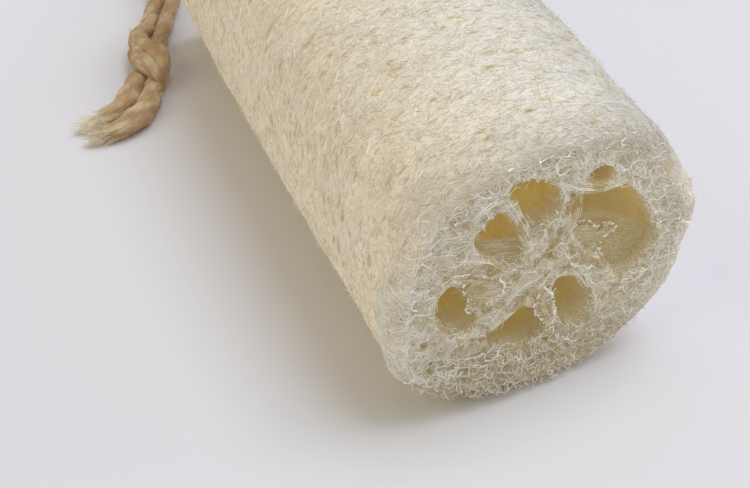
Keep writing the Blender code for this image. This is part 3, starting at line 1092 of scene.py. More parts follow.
class FibreTree(GeometryTree):
    """Lays wavy fibres on a surface, mostly round the loofah's axis."""

    SIZES = {
        "Density": 500000.0, "Length": 4 * MM, "Thickness": 0.25 * MM, "Spread": 0.5,
        "Swirl": 0.5, "Wander": 0.8 * MM, "Lift": 0.1 * MM, "Proud": 0.25 * MM,
        "Dive": 0.3 * MM, "Pit Depth": 0.35 * MM, "Points": 5, "Sides": 3, "Seed": 1,
    }

    def __init__(self, form: LoofahForm, finish: Material) -> None:
        """Builds the tree.

        Args:
            form: the loofah's shape, for its axis.
            finish: the fibres' material.
        """
        super().__init__("felted_fibres", self.SIZES)
        skin = self.size("Geometry")
        weight = self.add("GeometryNodeInputNamedAttribute", {"data_type": "FLOAT"},
                          {"Name": "weight"}, "Attribute")
        clear = 1.0 - self.pits(self.place(), 1.3) * 0.85
        points = self.add("GeometryNodeDistributePointsOnFaces", {"distribute_method": "RANDOM"},
                          {"Mesh": skin, "Density": self.size("Density") * weight * clear,
                           "Seed": self.size("Seed")}, "Points")
        turned = self._heading(form, self.other(points, "Normal"))
        line = self.add("GeometryNodeCurvePrimitiveLine",
                        values={"Start": (-0.5, 0, 0), "End": (0.5, 0, 0)})
        line = self.add("GeometryNodeResampleCurve",
                        values={"Curve": line, "Count": self.size("Points")})
        length = self.size("Length") * self.chance(None, 31, 0.5, 1.4)
        laid = self.add("GeometryNodeInstanceOnPoints", values={
            "Points": points, "Instance": line, "Rotation": turned,
            "Scale": self.joined(length, 1.0, 1.0)})
        curves = self.add("GeometryNodeRealizeInstances", values={"Geometry": laid})
        number = self.per_strand()
        curves = self._waved(curves, number)
        curves = self._pressed(curves, skin, number)
        along = self.add("GeometryNodeSplineParameter", output="Factor")
        ends = abs(along * 2.0 - 1.0) ** 4.0
        radius = self.size("Thickness") * self.chance(number, 17, 0.32, 0.72) * (1.0 - ends * 0.6)
        tone = self.chance(number, 23)
        self.close(self.tubes(curves, radius, tone, self.size("Sides")), finish)

    def _heading(self, form: LoofahForm, normal: Value) -> Value:
        """The rotation that lays a fibre along the skin, near to round the axis.

        Args:
            form: the loofah's shape, for its axis.
            normal: the skin's normal.

        Returns:
            The rotation.
        """
        place = self.place()
        x, _, z = self.parts(place)
        around = self.vector("NORMALIZE", self.joined(form.axis_z - z, 0.0, x - form.axis_x))
        across = self.vector("CROSS_PRODUCT", normal, around)
        drift = self.noise(place, 14 * MM, 1.0) - 0.5
        angle = self.size("Spread") * (self.chance(None, 41) - self.chance(None, 42))
        angle = angle + self.size("Swirl") * drift * 2.0
        heading = self.vector("ADD", self.scaled(around, self.math("COSINE", angle)),
                              self.scaled(across, self.math("SINE", angle)))
        return self.add("FunctionNodeAxesToRotation", {"primary_axis": "X", "secondary_axis": "Z"},
                        {"Primary Axis": heading, "Secondary Axis": normal})

    def _waved(self, curves: Value, number: Value) -> Value:
        """Moves the curves' points aside in smooth waves.

        Args:
            curves: the curves.
            number: the number of each curve.

        Returns:
            The waved curves.
        """
        place = self.place()
        shift = self.joined(self.chance(number, 51, 0.0, 0.02), 0.0, 0.0)
        own = self.aside(self.vector("ADD", place, shift), 2.2 * MM)
        moved = self.vector("ADD", self.aside(place, 6 * MM), self.scaled(own, 1.6))
        return self.add("GeometryNodeSetPosition", values={
            "Geometry": curves, "Offset": self.scaled(moved, self.size("Wander"))})

    def _pressed(self, curves: Value, skin: Value, number: Value) -> Value:
        """Lays the curves on the skin, where they dip under and over each other.

        Args:
            curves: the curves.
            skin: the mesh that they lie on.
            number: the number of each curve.

        Returns:
            The curves on the skin.
        """
        place = self.place()
        nearest = self._sample(skin, self.place(), place)
        normal = self._sample(skin, self.add("GeometryNodeInputNormal"), place)
        along = self.add("GeometryNodeSplineParameter", output="Factor")
        shift = self.joined(0.0, self.chance(number, 61, 0.0, 0.5), 0.0)
        wave = self.noise(self.vector("ADD", place, shift), 3 * MM, 1.0) - 0.5
        height = self.size("Lift") + self.size("Proud") * wave * 2.0
        height = height - self.size("Dive") * abs(along * 2.0 - 1.0) ** 6.0
        height = height - self.size("Pit Depth") * self.pits(place, 1.2)
        spot = self.vector("ADD", nearest, self.scaled(normal, height))
        x, y, z = self.parts(spot)
        return self.add("GeometryNodeSetPosition", values={
            "Geometry": curves, "Position": self.joined(x, y, self.highest(z, FLOOR_GAP))})

    def _sample(self, mesh: Value, value: Value, place: Value) -> Value:
        """A vector of a mesh at its nearest point to a place."""
        return self.add("GeometryNodeSampleNearestSurface", {"data_type": "FLOAT_VECTOR"},
                        {"Mesh": mesh, "Value": value, "Sample Position": place}, "Value")


class Chains:
    """Edges that strands are made along."""

    def __init__(self, places: Iterable[Sequence[float]] = (),
                 edges: Iterable[Sequence[int]] = ()) -> None:
        """Starts with some places, and the edges between them."""
        self.places = [tuple(place) for place in places]
        self.edges = [tuple(edge) for edge in edges]

    def add(self, line: Sequence[Sequence[float]]) -> None:
        """Adds a chain of edges.

        Args:
            line: the places, in order.
        """
        numbers = range(len(self.places), len(self.places) + len(line))
        self.edges += list(zip(numbers, numbers[1:]))
        self.places += [tuple(place) for place in line]


class StrandTree(GeometryTree):
    """Turns chains of edges into strands that flow together where they meet."""

    SIZES = {
        "Thickness": 0.4 * MM, "Waver": 0.3 * MM, "Waver Pitch": 1.6 * MM, "Flare": 0.35,
        "Taper": 0.0, "Points": 4, "Sides": 4,
    }

    def __init__(self, finish: Material) -> None:
        """Builds the tree.

        Args:
            finish: the strands' material.
        """
        super().__init__("strands", self.SIZES)
        curves = self.add("GeometryNodeMeshToCurve", values={"Mesh": self.size("Geometry")})
        curves = self.add("GeometryNodeResampleCurve",
                          values={"Curve": curves, "Count": self.size("Points")})
        number = self.per_strand()
        waves = self.add("ShaderNodeTexNoise", {"noise_dimensions": "3D"}, {
            "Vector": self.place(), "Scale": self.size("Waver Pitch") ** -1.0, "Detail": 1.0},
            "Color")
        offset = self.vector("SUBTRACT", waves, (0.5,) * 3)
        curves = self.add("GeometryNodeSetPosition", values={
            "Geometry": curves, "Offset": self.scaled(offset, self.size("Waver") * 2.0)})
        along = self.add("GeometryNodeSplineParameter", output="Factor")
        middle = abs(along * 2.0 - 1.0)
        shape = (1.0 + self.size("Flare") * middle ** 3.0) * (
            1.0 - self.size("Taper") * middle ** 2.0)
        radius = self.size("Thickness") * self.chance(number, 7, 0.3, 0.7) * shape
        self.close(self.tubes(curves, radius, self.chance(number, 9), self.size("Sides")), finish)

    def lay(self, chains: Chains, name: str, sizes: Sizes) -> Object:
        """Makes the strands along chains of edges.

        Args:
            chains: the chains.
            name: the name of the new piece.
            sizes: values for the named inputs.

        Returns:
            The strands as one piece.
        """
        mesh = bpy.data.meshes.new("chains")
        mesh.from_pydata(chains.places, chains.edges, [])
        source = link("chains", mesh)
        piece = self.grow(source, name, sizes)
        discard(source)
        return piece


@dataclass(frozen=True)
class CutNet:
    """The net of strands on one cut end, with a finer foam of strands under it.

    The foam's edge, disorder, wander and pitch are shares of its cell.
    """

    form: LoofahForm
    end: End
    foam_cell: float = 2.5 * MM
    foam_top: float = 0.4 * MM
    foam_bottom: float = 3.6 * MM
    foam_from: float = 0.3
    foam_ceiling: float = 1.0
    foam_margin: float = 0.0
    foam_lean: float = 0.0
    foam_edge: float = 0.37
    foam_disorder: float = 0.13
    foam_wander: float = 0.7
    foam_pitch: float = 2.2
    foam_lost: float = 0.12
    lean_from: float = -4 * MM
    lean_over: float = 20 * MM
    rim_margin: float = 1.2 * MM
    net_margin: float = 0.4 * MM
    kept_closed: float = 0.6
    kept_open: float = 0.9
    seed: int = 21

    def _region(self, places: Places, margin: float) -> Places:
        """Whether places lie between the rim and the mouths.

        Args:
            places: places in X and Z.
            margin: how far outside they may lie.

        Returns:
            True or False for each.
        """
        rim = self.form.end_rim(self.end).widened(margin + self.rim_margin)
        mouths = [mouth.widened(-margin) for mouth in self.form.end_mouths(self.end)]
        return between(rim, mouths, places)

    def _front(self, places: Places) -> Places:
        """How far the rounded rim sets the front of the net back at some places.

        Args:
            places: places in X and Z.

        Returns:
            How far, for each.
        """
        rim = self.form.end_rim(self.end)
        outside = np.where(rim.contains(places), 0.0, rim.distance(places))
        outside = np.minimum(outside, 0.98 * self.form.rim_radius)
        return self.form.rim_radius - np.sqrt(self.form.rim_radius ** 2 - outside ** 2)

    def _chains(self, flat: Places, depth: Places, edges: Iterable[tuple[int, int]]) -> Chains:
        """Edges between places in X and Z that lie some depth behind the cut."""
        y = self.end.value * (self.form.length / 2 - depth)
        return Chains(np.stack((flat[:, 0], y, flat[:, 1]), axis=1), edges)

    def window_net(self) -> Chains:
        """The edges between the cells of the cut end, at its surface.

        Returns:
            The edges.
        """
        relief = CellRelief(self.form, self.end)
        centres, _ = relief.centres()
        corners = triangles_over([Vector(centre) for centre in centres])
        nodes = centres[corners].mean(axis=1)
        nodes = nodes - relief.wander(nodes)
        owners: dict[tuple[int, int], int] = {}
        edges = []
        for number, triangle in enumerate(corners.tolist()):
            for i in range(3):
                key = tuple(sorted((triangle[i], triangle[i - 1])))
                if key in owners:
                    edges.append((owners[key], number))
                owners[key] = number
        inside = self._region(nodes, 0.0)
        reached = self._region(nodes, self.net_margin)
        rng = np.random.default_rng(self.seed)
        kept = rng.uniform(0, 1, len(edges)) < self.kept_closed + (
            self.kept_open - self.kept_closed) * self.form.openness(nodes)[np.array(edges)[:, 0]]
        edges = [(a, b) for (a, b), keep in zip(edges, kept)
                 if keep and (inside[a] or inside[b]) and reached[a] and reached[b]]
        dip = self._front(nodes) + rng.uniform(-0.3, 0.6, len(nodes)) * MM
        return self._chains(nodes, dip, edges)

    def foam(self) -> Chains:
        """A wandering foam of strands behind the net, cut off by the rim and the mouths.

        Returns:
            The edges.
        """
        rng = np.random.default_rng(self.seed + 1)
        cell = self.foam_cell
        corner = [p for a in (-0.25, 0.25) for p in (
            (0, a, 0.5), (a, 0, 0.5), (0, 0.5, a), (a, 0.5, 0), (0.5, 0, a), (0.5, a, 0))]
        reach = math.ceil(self.form.radius / cell) + 1
        deep = math.ceil(self.foam_bottom / cell) + 1
        front = math.floor(self.foam_top / cell) - 1
        nodes = np.array([(i + x, j + y, k + z) for i in range(-reach, reach + 1)
                          for j in range(front, deep + 1) for k in range(-reach, reach + 1)
                          for x, y, z in corner]) * cell
        tree = tree_of(nodes)
        edges = [(i, k) for i, p in enumerate(nodes)
                 for _, k, _ in tree.find_range(p, cell * self.foam_edge) if k > i]
        moved = nodes + rng.normal(0, self.foam_disorder * cell, nodes.shape)
        moved += [self.foam_wander * cell * noise.noise_vector(Vector(p) / (self.foam_pitch * cell))
                  for p in nodes]
        flat = moved[:, [0, 2]] + np.array((self.form.axis_x, self.form.axis_z))
        depth = moved[:, 1]
        keep = self._region(flat, self.foam_margin) & (depth < self.foam_bottom)
        aside = np.clip((flat[:, 0] - self.lean_from) / self.lean_over, 0, 1)
        lean = 1 - self.foam_lean * aside
        keep &= depth > self.foam_top * lean + self._front(flat)
        keep &= (flat[:, 1] > 0.35 * MM) & (flat[:, 1] + 3 * depth < self.foam_ceiling)
        keep &= self.form.openness(flat) > self.foam_from
        gone = rng.uniform(0, 1, len(edges)) < self.foam_lost
        edges = [e for e, lost in zip(edges, gone) if keep[e[0]] and keep[e[1]] and not lost]
        return self._chains(flat, depth, edges)


@dataclass(frozen=True)
class Bundle:
    """Strands that run together along a line over the near cut end.

    The line's points are X, how far they stand in front of the cut, and Z, in millimetres.
    """

    line: tuple[tuple[float, float, float], ...]
    strands: int
    spread: float


@dataclass(frozen=True)
class StrandBundles:
    """The stronger strands of the near cut end, and the loose ones at its rim."""

    form: LoofahForm
    bundles: tuple[Bundle, ...]
    points: int = 14
    seed: int = 8

    def chains(self) -> Chains:
        """Lays a chain of edges along every strand.

        Returns:
            The edges.
        """
        rng = np.random.default_rng(self.seed)
        chains = Chains()
        for bundle in self.bundles:
            knots = np.array(bundle.line)
            reach = np.linspace(0, 1, len(knots))
            share = np.linspace(0, 1, self.points)
            for _ in range(bundle.strands):
                shift = rng.normal(0, bundle.spread, (3, 3)) * (1, 0.6, 1)
                aside = np.stack([np.interp(share, (0, 0.5, 1), shift[:, i]) for i in range(3)], 1)
                late, early = rng.uniform(0, 0.12, 2)
                want = late + (1 - late - early) * share
                line = np.stack([np.interp(want, reach, knots[:, i]) for i in range(3)], 1)
                smooth = line.copy()
                smooth[1:-1] = (line[:-2] + 2 * line[1:-1] + line[2:]) / 4
                smooth += aside
                chains.add([(x * MM, -self.form.length / 2 - out * MM, z * MM)
                            for x, out, z in smooth])
        return chains


@dataclass(frozen=True)
class MouthFringe:
    """Short frayed hairs that reach over the mouths of the near end, and out from its rim."""

    form: LoofahForm
    per_metre: float = 700.0
    rim_reach: float = 3.1 * MM
    rim_share: float = 2.0
    rim_top: float = 52 * MM
    rim_slope: float = 0.4
    rooted: tuple[float, float] = (0.2 * MM, 1.2 * MM)
    mouth_depth: tuple[float, float] = (-0.3 * MM, 1.4 * MM)
    rim_depth: tuple[float, float] = (1.0 * MM, 3.0 * MM)
    spread: float = 0.7
    bent: float = 0.4
    shortest: float = 0.5 * MM
    longest: float = 2.2 * MM
    seed: int = 14

    def chains(self) -> Chains:
        """Lays a chain of edges along every hair.

        Returns:
            The edges.
        """
        rng = np.random.default_rng(self.seed)
        chains = Chains()
        mouths = [(mouth, 1.0) for mouth in self.form.end_mouths(End.NEAR)]
        rim = self.form.end_rim(End.NEAR).widened(self.rim_reach)
        for mouth, side in [*mouths, (rim, -1.0)]:
            line = mouth.points
            centre = line.mean(0)
            around = np.linalg.norm(np.roll(line, -1, 0) - line, axis=1)
            share = 1.0 if side > 0 else self.rim_share
            for _ in range(round(self.per_metre * around.sum() * share)):
                i = rng.choice(len(line), p=around / around.sum())
                root = line[i] + (line[i - 1] - line[i]) * rng.uniform()
                inward = side * (centre - root) / np.linalg.norm(centre - root)
                if side < 0 and root[1] > self.rim_top + self.rim_slope * root[0]:
                    continue
                aside = np.array((-inward[1], inward[0]))
                root = root - inward * rng.uniform(*self.rooted)
                depth = rng.uniform(*self.mouth_depth) + (side < 0) * rng.uniform(*self.rim_depth)
                heading = inward * rng.uniform(0.3, 1.0) + aside * rng.normal(0, self.spread)
                length = self.shortest + (self.longest - self.shortest) * rng.uniform() ** 2
                bend = aside * rng.normal(0, self.bent) * length
                hair = []
                for t in (0.0, 0.35, 0.7, 1.0):
                    x, z = root + heading * (length * t) + bend * t * t
                    y = -self.form.length / 2 + depth + rng.normal(0, 0.1) * length
                    hair.append((x, y, z))
                chains.add(hair)
        return chains


@dataclass(frozen=True)
class TornMembrane:
    """A thin torn sheet of flesh with pinholes, at the near cut end.

    Its outline is X and Z in millimetres; "back" is how far its middle lies behind the cut.
    """

    outline: tuple[tuple[float, float], ...]
    back: float
    lean: tuple[float, float] = (0.0, 0.0)
    curl: float = 0.6
    ragged: float = 0.7
    pinholes: float = 0.25
    frayed: float = 1.0
    film: float = 1.0
    thickness: float = 0.16 * MM
    pitch: float = 0.32 * MM
    margin: float = 1.2 * MM
    coarse_pitch: float = 1.3 * MM
    fine_pitch: float = 0.55 * MM
    wave: float = 0.5 * MM
    wave_pitch: float = 2.5 * MM
    torn_zone: float = 1.6 * MM
    curl_zone: float = 0.75 * MM
    fade_zone: float = 1.8 * MM

    def sheet(self, form: LoofahForm, bm: BMesh, edge_layer: object, film_layer: object) -> None:
        """Adds the sheet to a mesh.

        Args:
            form: the loofah's shape.
            bm: the mesh.
            edge_layer: the vertex layer that takes how near each place is to the torn edge.
            film_layer: the vertex layer that takes how dense the sheet is there.
        """
        line = Outline.smooth(self.outline, 0.5 * MM)
        places = grid_over(line.widened(self.margin), self.pitch)
        gap = line.distance(places) * np.where(line.contains(places), 1, -1)
        coarse = noise_over(places, self.back * MM, self.coarse_pitch)
        fine = noise_over(places, 0.04, self.fine_pitch)
        level = gap + self.ragged * MM * (0.9 * coarse + 0.7 * fine)
        corners = triangles_over([Vector(place) for place in places])
        solid = level[corners].mean(axis=1) > 0
        near_edge = gap[corners].mean(axis=1) < self.torn_zone
        torn = np.maximum(coarse, fine)[corners].mean(axis=1)
        solid &= ~((torn > 0.5 - self.pinholes) & near_edge)
        corners = corners[solid]
        middle = np.mean(line.points, axis=0)
        lean = (places - middle) @ np.array(self.lean)
        edge = np.exp(-np.clip(gap, 0, None) / self.curl_zone)
        wave = self.wave * noise_over(places, 0.02, self.wave_pitch)
        y = -form.length / 2 + self.back * MM + lean - self.curl * MM * edge + wave
        sides = []
        for offset in (-0.5, 0.5):
            verts = {}
            for i in np.unique(corners):
                vert = bm.verts.new((places[i, 0], y[i] + offset * self.thickness, places[i, 1]))
                vert[edge_layer] = edge[i] * self.frayed
                fade = 1.0 if self.frayed > 0.5 else held(gap[i] / self.fade_zone)
                vert[film_layer] = self.film * fade
                verts[int(i)] = vert
            sides.append(verts)
        front, rear = sides
        borders: dict[tuple[int, int], None] = {}
        for a, b, c in corners.tolist():
            bm.faces.new((front[a], front[b], front[c]))
            bm.faces.new((rear[c], rear[b], rear[a]))
            borders.update(dict.fromkeys(((a, b), (b, c), (c, a))))
        for a, b in borders:
            if (b, a) not in borders:
                bm.faces.new((front[b], front[a], rear[a], rear[b]))


@dataclass(frozen=True)
class Membranes:
    """All torn membranes, as one piece."""

    form: LoofahForm
    sheets: tuple[TornMembrane, ...]

    def build(self, material: Material) -> Object:
        """Builds the piece.

        Args:
            material: its finish.

        Returns:
            The piece, with the attributes "edge" and "film".
        """
        bm = bmesh.new()
        edge = bm.verts.layers.float.new("edge")
        film = bm.verts.layers.float.new("film")
        for sheet in self.sheets:
            sheet.sheet(self.form, bm, edge, film)
        bmesh.ops.recalc_face_normals(bm, faces=bm.faces)
        mesh = finished(bm, "torn_membranes")
        mesh.shade_smooth()
        mesh.materials.append(material)
        return link("torn_membranes", mesh)


@dataclass(frozen=True)
class FeltFinish:
    """The cream felt of the skin, with ochre in its pits, painted shade, a painted sheen and a
    painted glow.
    """

    name: str
    form: LoofahForm
    pale: Colour = (0.85, 0.79, 0.66)
    cream: Colour = (0.835, 0.765, 0.62)
    # white: the colour of the painted sheen on the top
    white: Colour = (0.79, 0.775, 0.72)
    bright: Colour = (0.97, 0.95, 0.87)
    # the painted sheen's colour to the right, darker as painted shade
    painted_shade_right: Colour = (0.565, 0.565, 0.54)
    # gap: the painted shade of dark openings near the rim
    gap: Colour = (0.36, 0.30, 0.19)
    ochre: Colour = (0.61, 0.49, 0.28)
    # core: the pits' ochre, darkened with painted shade
    core: Colour = (0.40, 0.285, 0.11)
    # shine, with glow below: a painted glow that stands in for light shining into the felt
    shine: Colour = (0.80, 0.74, 0.62)
    # the ring round each pit: partly ochre, partly painted shade
    pit_stain_and_shade: Colour = (0.55, 0.44, 0.22)
    roughness: float = 0.5
    glow: float = 0.185

    def material(self, ground: bool) -> Material:
        """Makes the material.

        Args:
            ground: whether it is for the skin under the fibres, where fine fibres are drawn.

        Returns:
            The material.
        """
        shader = Shader(self.name)
        place = shader.place()
        patches = shader.ease(shader.noise(place, 9 * MM, 1.0), 0.35, 0.65)
        across, along, up = shader.parts(place)
        # Painted sheen: the top turns paler and greyer, and darker to the right as painted shade.
        painted_sheen = shader.ease(up + across * 0.4 + (patches - 0.5) * (4 * MM),
                             50 * MM, 76 * MM, 0.0, 0.9)
        white = shader.mix(shader.ease(across, 2 * MM, 24 * MM), self.white, self.painted_shade_right)
        colour = shader.mix(painted_sheen, shader.mix(patches, self.pale, self.cream), white)
        shine = shader.mix(painted_sheen, self.shine, white)
        # Painted shade: the top is darkened, and more so near the cut end.
        painted_top_shade = shader.ease(up, 42 * MM, 60 * MM, 1.0, 0.91)
        depth = self.form.length / 2 - abs(along)
        end = shader.ease(depth, 10 * MM, 4 * MM)
        painted_top_shade = painted_top_shade * (1.0 - end * shader.ease(up, 48 * MM, 58 * MM, 0.0, 0.13))
        looks = [shader.scaled(look, painted_top_shade) for look in (colour, shine)]
        # The emission is a painted glow that stands in for light shining into the felt.
        values: dict[str, object] = {"Roughness": self.roughness, "Emission Strength": self.glow}
        if ground:
            flat = shader.add("ShaderNodeUVMap", {"uv_map": "skin"})
            for pitch, amount in ((12 * MM, 7 * MM), (2.5 * MM, 1.4 * MM)):
                moved = shader.scaled(shader.aside(place, pitch), amount)
                flat = shader.vector("ADD", flat, moved)
            height = shader.highest(
                shader.fibres(flat, -0.6, 0.5 * MM, 3.5 * MM, 1.0) * 0.75,
                shader.fibres(flat, -0.15, 0.55 * MM, 4 * MM, 3.0),
                shader.fibres(flat, 0.25, 0.45 * MM, 3.5 * MM, 5.0) * 0.9,
                shader.fibres(flat, 0.9, 0.55 * MM, 3 * MM, 7.0) * 0.7)
            drawn = height * 0.5 + 0.5 + painted_sheen * (0.3 - height * 0.3)
            values["Normal"] = shader.bump(height, 0.15 * MM)
            # Painted shade: dark openings near the rim, where the net opens and low down.
            rim = shader.ease(depth, 7 * MM, 3 * MM)
            painted_shade_gaps = shader.ease(shader.noise(place, 1.7 * MM, 2.0), 0.47, 0.56)
            low = shader.ease(up, 48 * MM, 34 * MM, 0.0, 0.3)
            painted_shade_gaps = painted_shade_gaps * rim * shader.highest(shader.openness(self.form), low)
            looks = [shader.mix(painted_shade_gaps, shader.mix(drawn, self.ochre, look), self.gap)
                     for look in looks]
        else:
            tone = shader.attribute("tone")
            side = shader.ease(across, -4 * MM, -28 * MM, 0.75, 1.0)
            dark = shader.ease(tone, 0.45, 0.0) * side
            light = shader.ease(tone, 0.8, 1.0) * side
            looks = [shader.mix(light, shader.mix(dark, look, self.ochre), self.bright)
                     for look in looks]
        # Pits and the rings round them: ochre with painted shade.
        pit_stain_and_shade = shader.pits(place, 2.5) * 0.6
        pit = shader.pits(place, 0.9) * (0.9 if ground else 0.6)
        # The pits are painted fainter to the left, to offset the shade there.
        pit = pit * shader.ease(across, -30 * MM, -14 * MM, 0.5, 1.0)
        values["Base Color"], values["Emission Color"] = (
            shader.mix(pit, shader.mix(pit_stain_and_shade, look, self.pit_stain_and_shade), self.core) for look in looks)
        return shader.finish(values)


@dataclass(frozen=True)
class StrandFinish:
    """The strands of a cut end: greyish white in front and tan deeper in, with painted glow and
    shade.
    """

    name: str
    form: LoofahForm
    front: Colour = (0.95, 0.93, 0.84)
    pale: Colour = (0.96, 0.96, 0.93)
    deep: Colour = (0.60, 0.50, 0.27)
    golden: Colour = (0.64, 0.51, 0.23)
    # the tan of painted shade on strands that lie further back, low on the face
    painted_shade_tan: Colour = (0.75, 0.68, 0.50)
    # glint: the colour of painted glints, which glow
    glint: Colour = (6.0, 5.8, 5.2)
    reach: float = 3.0 * MM
    roughness: float = 0.36
    glow: float = 0.09

    def material(self) -> Material:
        """Makes the material.

        Returns:
            The material.
        """
        shader = Shader(self.name)
        x, y, z = shader.parts(shader.place())
        depth = 0.5 * self.form.length - abs(y)
        across, up = x - self.form.axis_x, z - self.form.axis_z
        from_axis = (across * across + up * up) ** 0.5
        sunk = shader.ease(depth, 0.4 * MM, self.reach) * shader.ease(from_axis, 32 * MM, 28 * MM)
        core = shader.ease(from_axis, 30 * MM, 18 * MM)
        patches = shader.ease(shader.noise(shader.place(), 3.4 * MM, 2.0), 0.5, 0.6)
        tone = shader.attribute("tone")
        colour = shader.mix(core, self.pale, self.front)
        low = shader.ease(z, 16 * MM, 8 * MM)
        colour = shader.mix(patches * (core * 0.8 + 0.1) * (1.0 - low), colour, self.golden)
        # Painted shade: low on the face, strands further back turn darker tan.
        behind = low * shader.ease(depth, -2.0 * MM, 0.5 * MM, 0.45, 0.8)
        colour = shader.mix(sunk, shader.mix(behind, colour, self.painted_shade_tan), self.deep)
        colour = shader.mix(shader.ease(tone, 0.0, 0.6, 0.45, 0.0), colour, self.deep)
        colour = shader.scaled(colour, shader.ease(z, 6 * MM, 24 * MM, 0.86, 1.0))
        # The emission is a painted glow, stronger on strands sunk deeper in.
        shine = shader.mix(sunk, colour, tuple(2.2 * c for c in self.deep))
        # Painted glints: a few strands to the right glow white.
        spots = shader.ease(shader.noise(shader.place(), 0.9 * MM, 1.0), 0.56, 0.62)
        glints = shader.ease(tone, 0.93, 0.95) * spots * shader.ease(x, 11 * MM, 16 * MM)
        shine = shader.mix(glints * (1.0 - sunk), shine, self.glint)
        return shader.finish({"Base Color": colour, "Roughness": self.roughness,
                              "Emission Color": shine, "Emission Strength": self.glow})


@dataclass(frozen=True)
class FleshFinish:
    """The matted flesh of a cut end: beige where shallow, ochre where deep, with painted glow and
    shade.
    """

    name: str
    form: LoofahForm
    shallow: Colour = (0.67, 0.60, 0.39)
    middle: Colour = (0.55, 0.43, 0.18)
    deep: Colour = (0.41, 0.28, 0.08)
    # gap: painted shade in the deep open cells
    gap: Colour = (0.30, 0.245, 0.15)
    hair: Colour = (0.93, 0.89, 0.75)
    # honey: small openings painted on the flesh, coloured as the shade inside them
    honey: Colour = (0.54, 0.40, 0.15)
    glow: float = 0.17

    def material(self) -> Material:
        """Makes the material.

        Returns:
            The material.
        """
        shader = Shader(self.name)
        place = shader.place()
        x, _, z = shader.parts(place)
        flat = shader.joined(x, z, 0.0)
        for pitch, amount in ((4 * MM, 6 * MM), (1.4 * MM, 1.2 * MM)):
            flat = shader.vector("ADD", flat, shader.scaled(shader.aside(place, pitch), amount))
        hairs = shader.highest(
            shader.fibres(flat, 0.1, 0.38 * MM, 2.4 * MM, 2.0),
            shader.fibres(flat, 0.9, 0.42 * MM, 2.0 * MM, 4.0) * 0.9,
            shader.fibres(flat, 1.7, 0.38 * MM, 2.4 * MM, 6.0) * 0.8,
            shader.fibres(flat, 2.5, 0.44 * MM, 2.0 * MM, 8.0) * 0.9)
        open_share = shader.openness(self.form)
        patches = shader.noise(place, 2.6 * MM, 3.0) - 0.5
        sunk = shader.attribute("sunk") + patches * 1.4 + open_share * 0.35
        colour = shader.mix(shader.ease(sunk, -0.1, 0.4), self.shallow, self.middle)
        colour = shader.mix(shader.ease(sunk, 0.45, 1.0), colour, self.deep)
        # Painted shade: darkest in the deep cells where the net is open.
        colour = shader.mix(shader.ease(sunk, 0.5, 0.9) * open_share * 0.8, colour, self.gap)
        # Small openings painted as honey spots with no hole in the mesh: painted shade in them.
        wobble = shader.noise(place, 1.2 * MM, 2.0) * (1.2 * MM)
        painted_hole_shade = shader.highest(*(
            shader.ease(((x - a * MM) ** 2.0 + (z - b * MM) ** 2.0) ** 0.5 + wobble,
                        (r + 0.9) * MM, (r + 0.3) * MM) for a, b, r in HOLES))
        colour = shader.mix(hairs * (0.85 - open_share * 0.35), colour, self.hair)
        colour = shader.mix(painted_hole_shade * 0.8, colour, self.honey)
        # Painted light: paler low down, to offset the shadow of the apron in front.
        colour = shader.scaled(colour, shader.ease(z, 5 * MM, 14 * MM, 1.35, 1.0))
        gloss = shader.ease(shader.noise(place, 3 * MM, 1.0), 0.55, 0.62, 0.65, 0.25)
        # The emission is a painted glow that stands in for light shining through the flesh.
        return shader.finish({
            "Base Color": colour, "Roughness": gloss, "Emission Color": colour,
            "Emission Strength": self.glow, "Normal": shader.bump(hairs, 0.3 * MM)})


@dataclass(frozen=True)
class MembraneFinish:
    """Thin flesh, whitish where it is torn and see-through beige inside, with a painted glow."""

    name: str
    torn: Colour = (0.97, 0.95, 0.89)
    inner: Colour = (0.50, 0.42, 0.235)
    shade: Colour = (0.46, 0.36, 0.16)
    glow: float = 0.15

    def material(self) -> Material:
        """Makes the material.

        Returns:
            The material.
        """
        shader = Shader(self.name)
        place = shader.place()
        grain = shader.noise(place, 0.7 * MM, 3.0)
        edge = shader.attribute("edge") + (grain - 0.5) * 1.2
        patches = shader.ease(shader.noise(place, 2.2 * MM, 2.0), 0.45, 0.65)
        x, y, z = shader.parts(place)
        across = shader.joined(x * 0.1, y, z + x * 0.32)
        streaks = shader.ease(shader.noise(across, 0.45 * MM, 2.0), 0.45, 0.62)
        torn = shader.ease(edge, 0.35, 1.0)
        colour = shader.mix(patches * 0.7, self.inner, self.shade)
        colour = shader.mix(streaks * shader.ease(x, -3 * MM, 3 * MM, 0.25, 0.1), colour, self.torn)
        colour = shader.mix(torn, colour, self.torn)
        dense = shader.attribute("film") * (0.75 + streaks * 0.25 + torn * 0.6)
        # The emission is a painted glow that stands in for light shining through the film.
        return shader.finish({
            "Base Color": colour, "Roughness": 0.45, "Emission Color": colour,
            "Emission Strength": self.glow, "Alpha": shader.ease(dense, 0.0, 1.0),
            "Normal": shader.bump(grain, 0.3 * MM)})


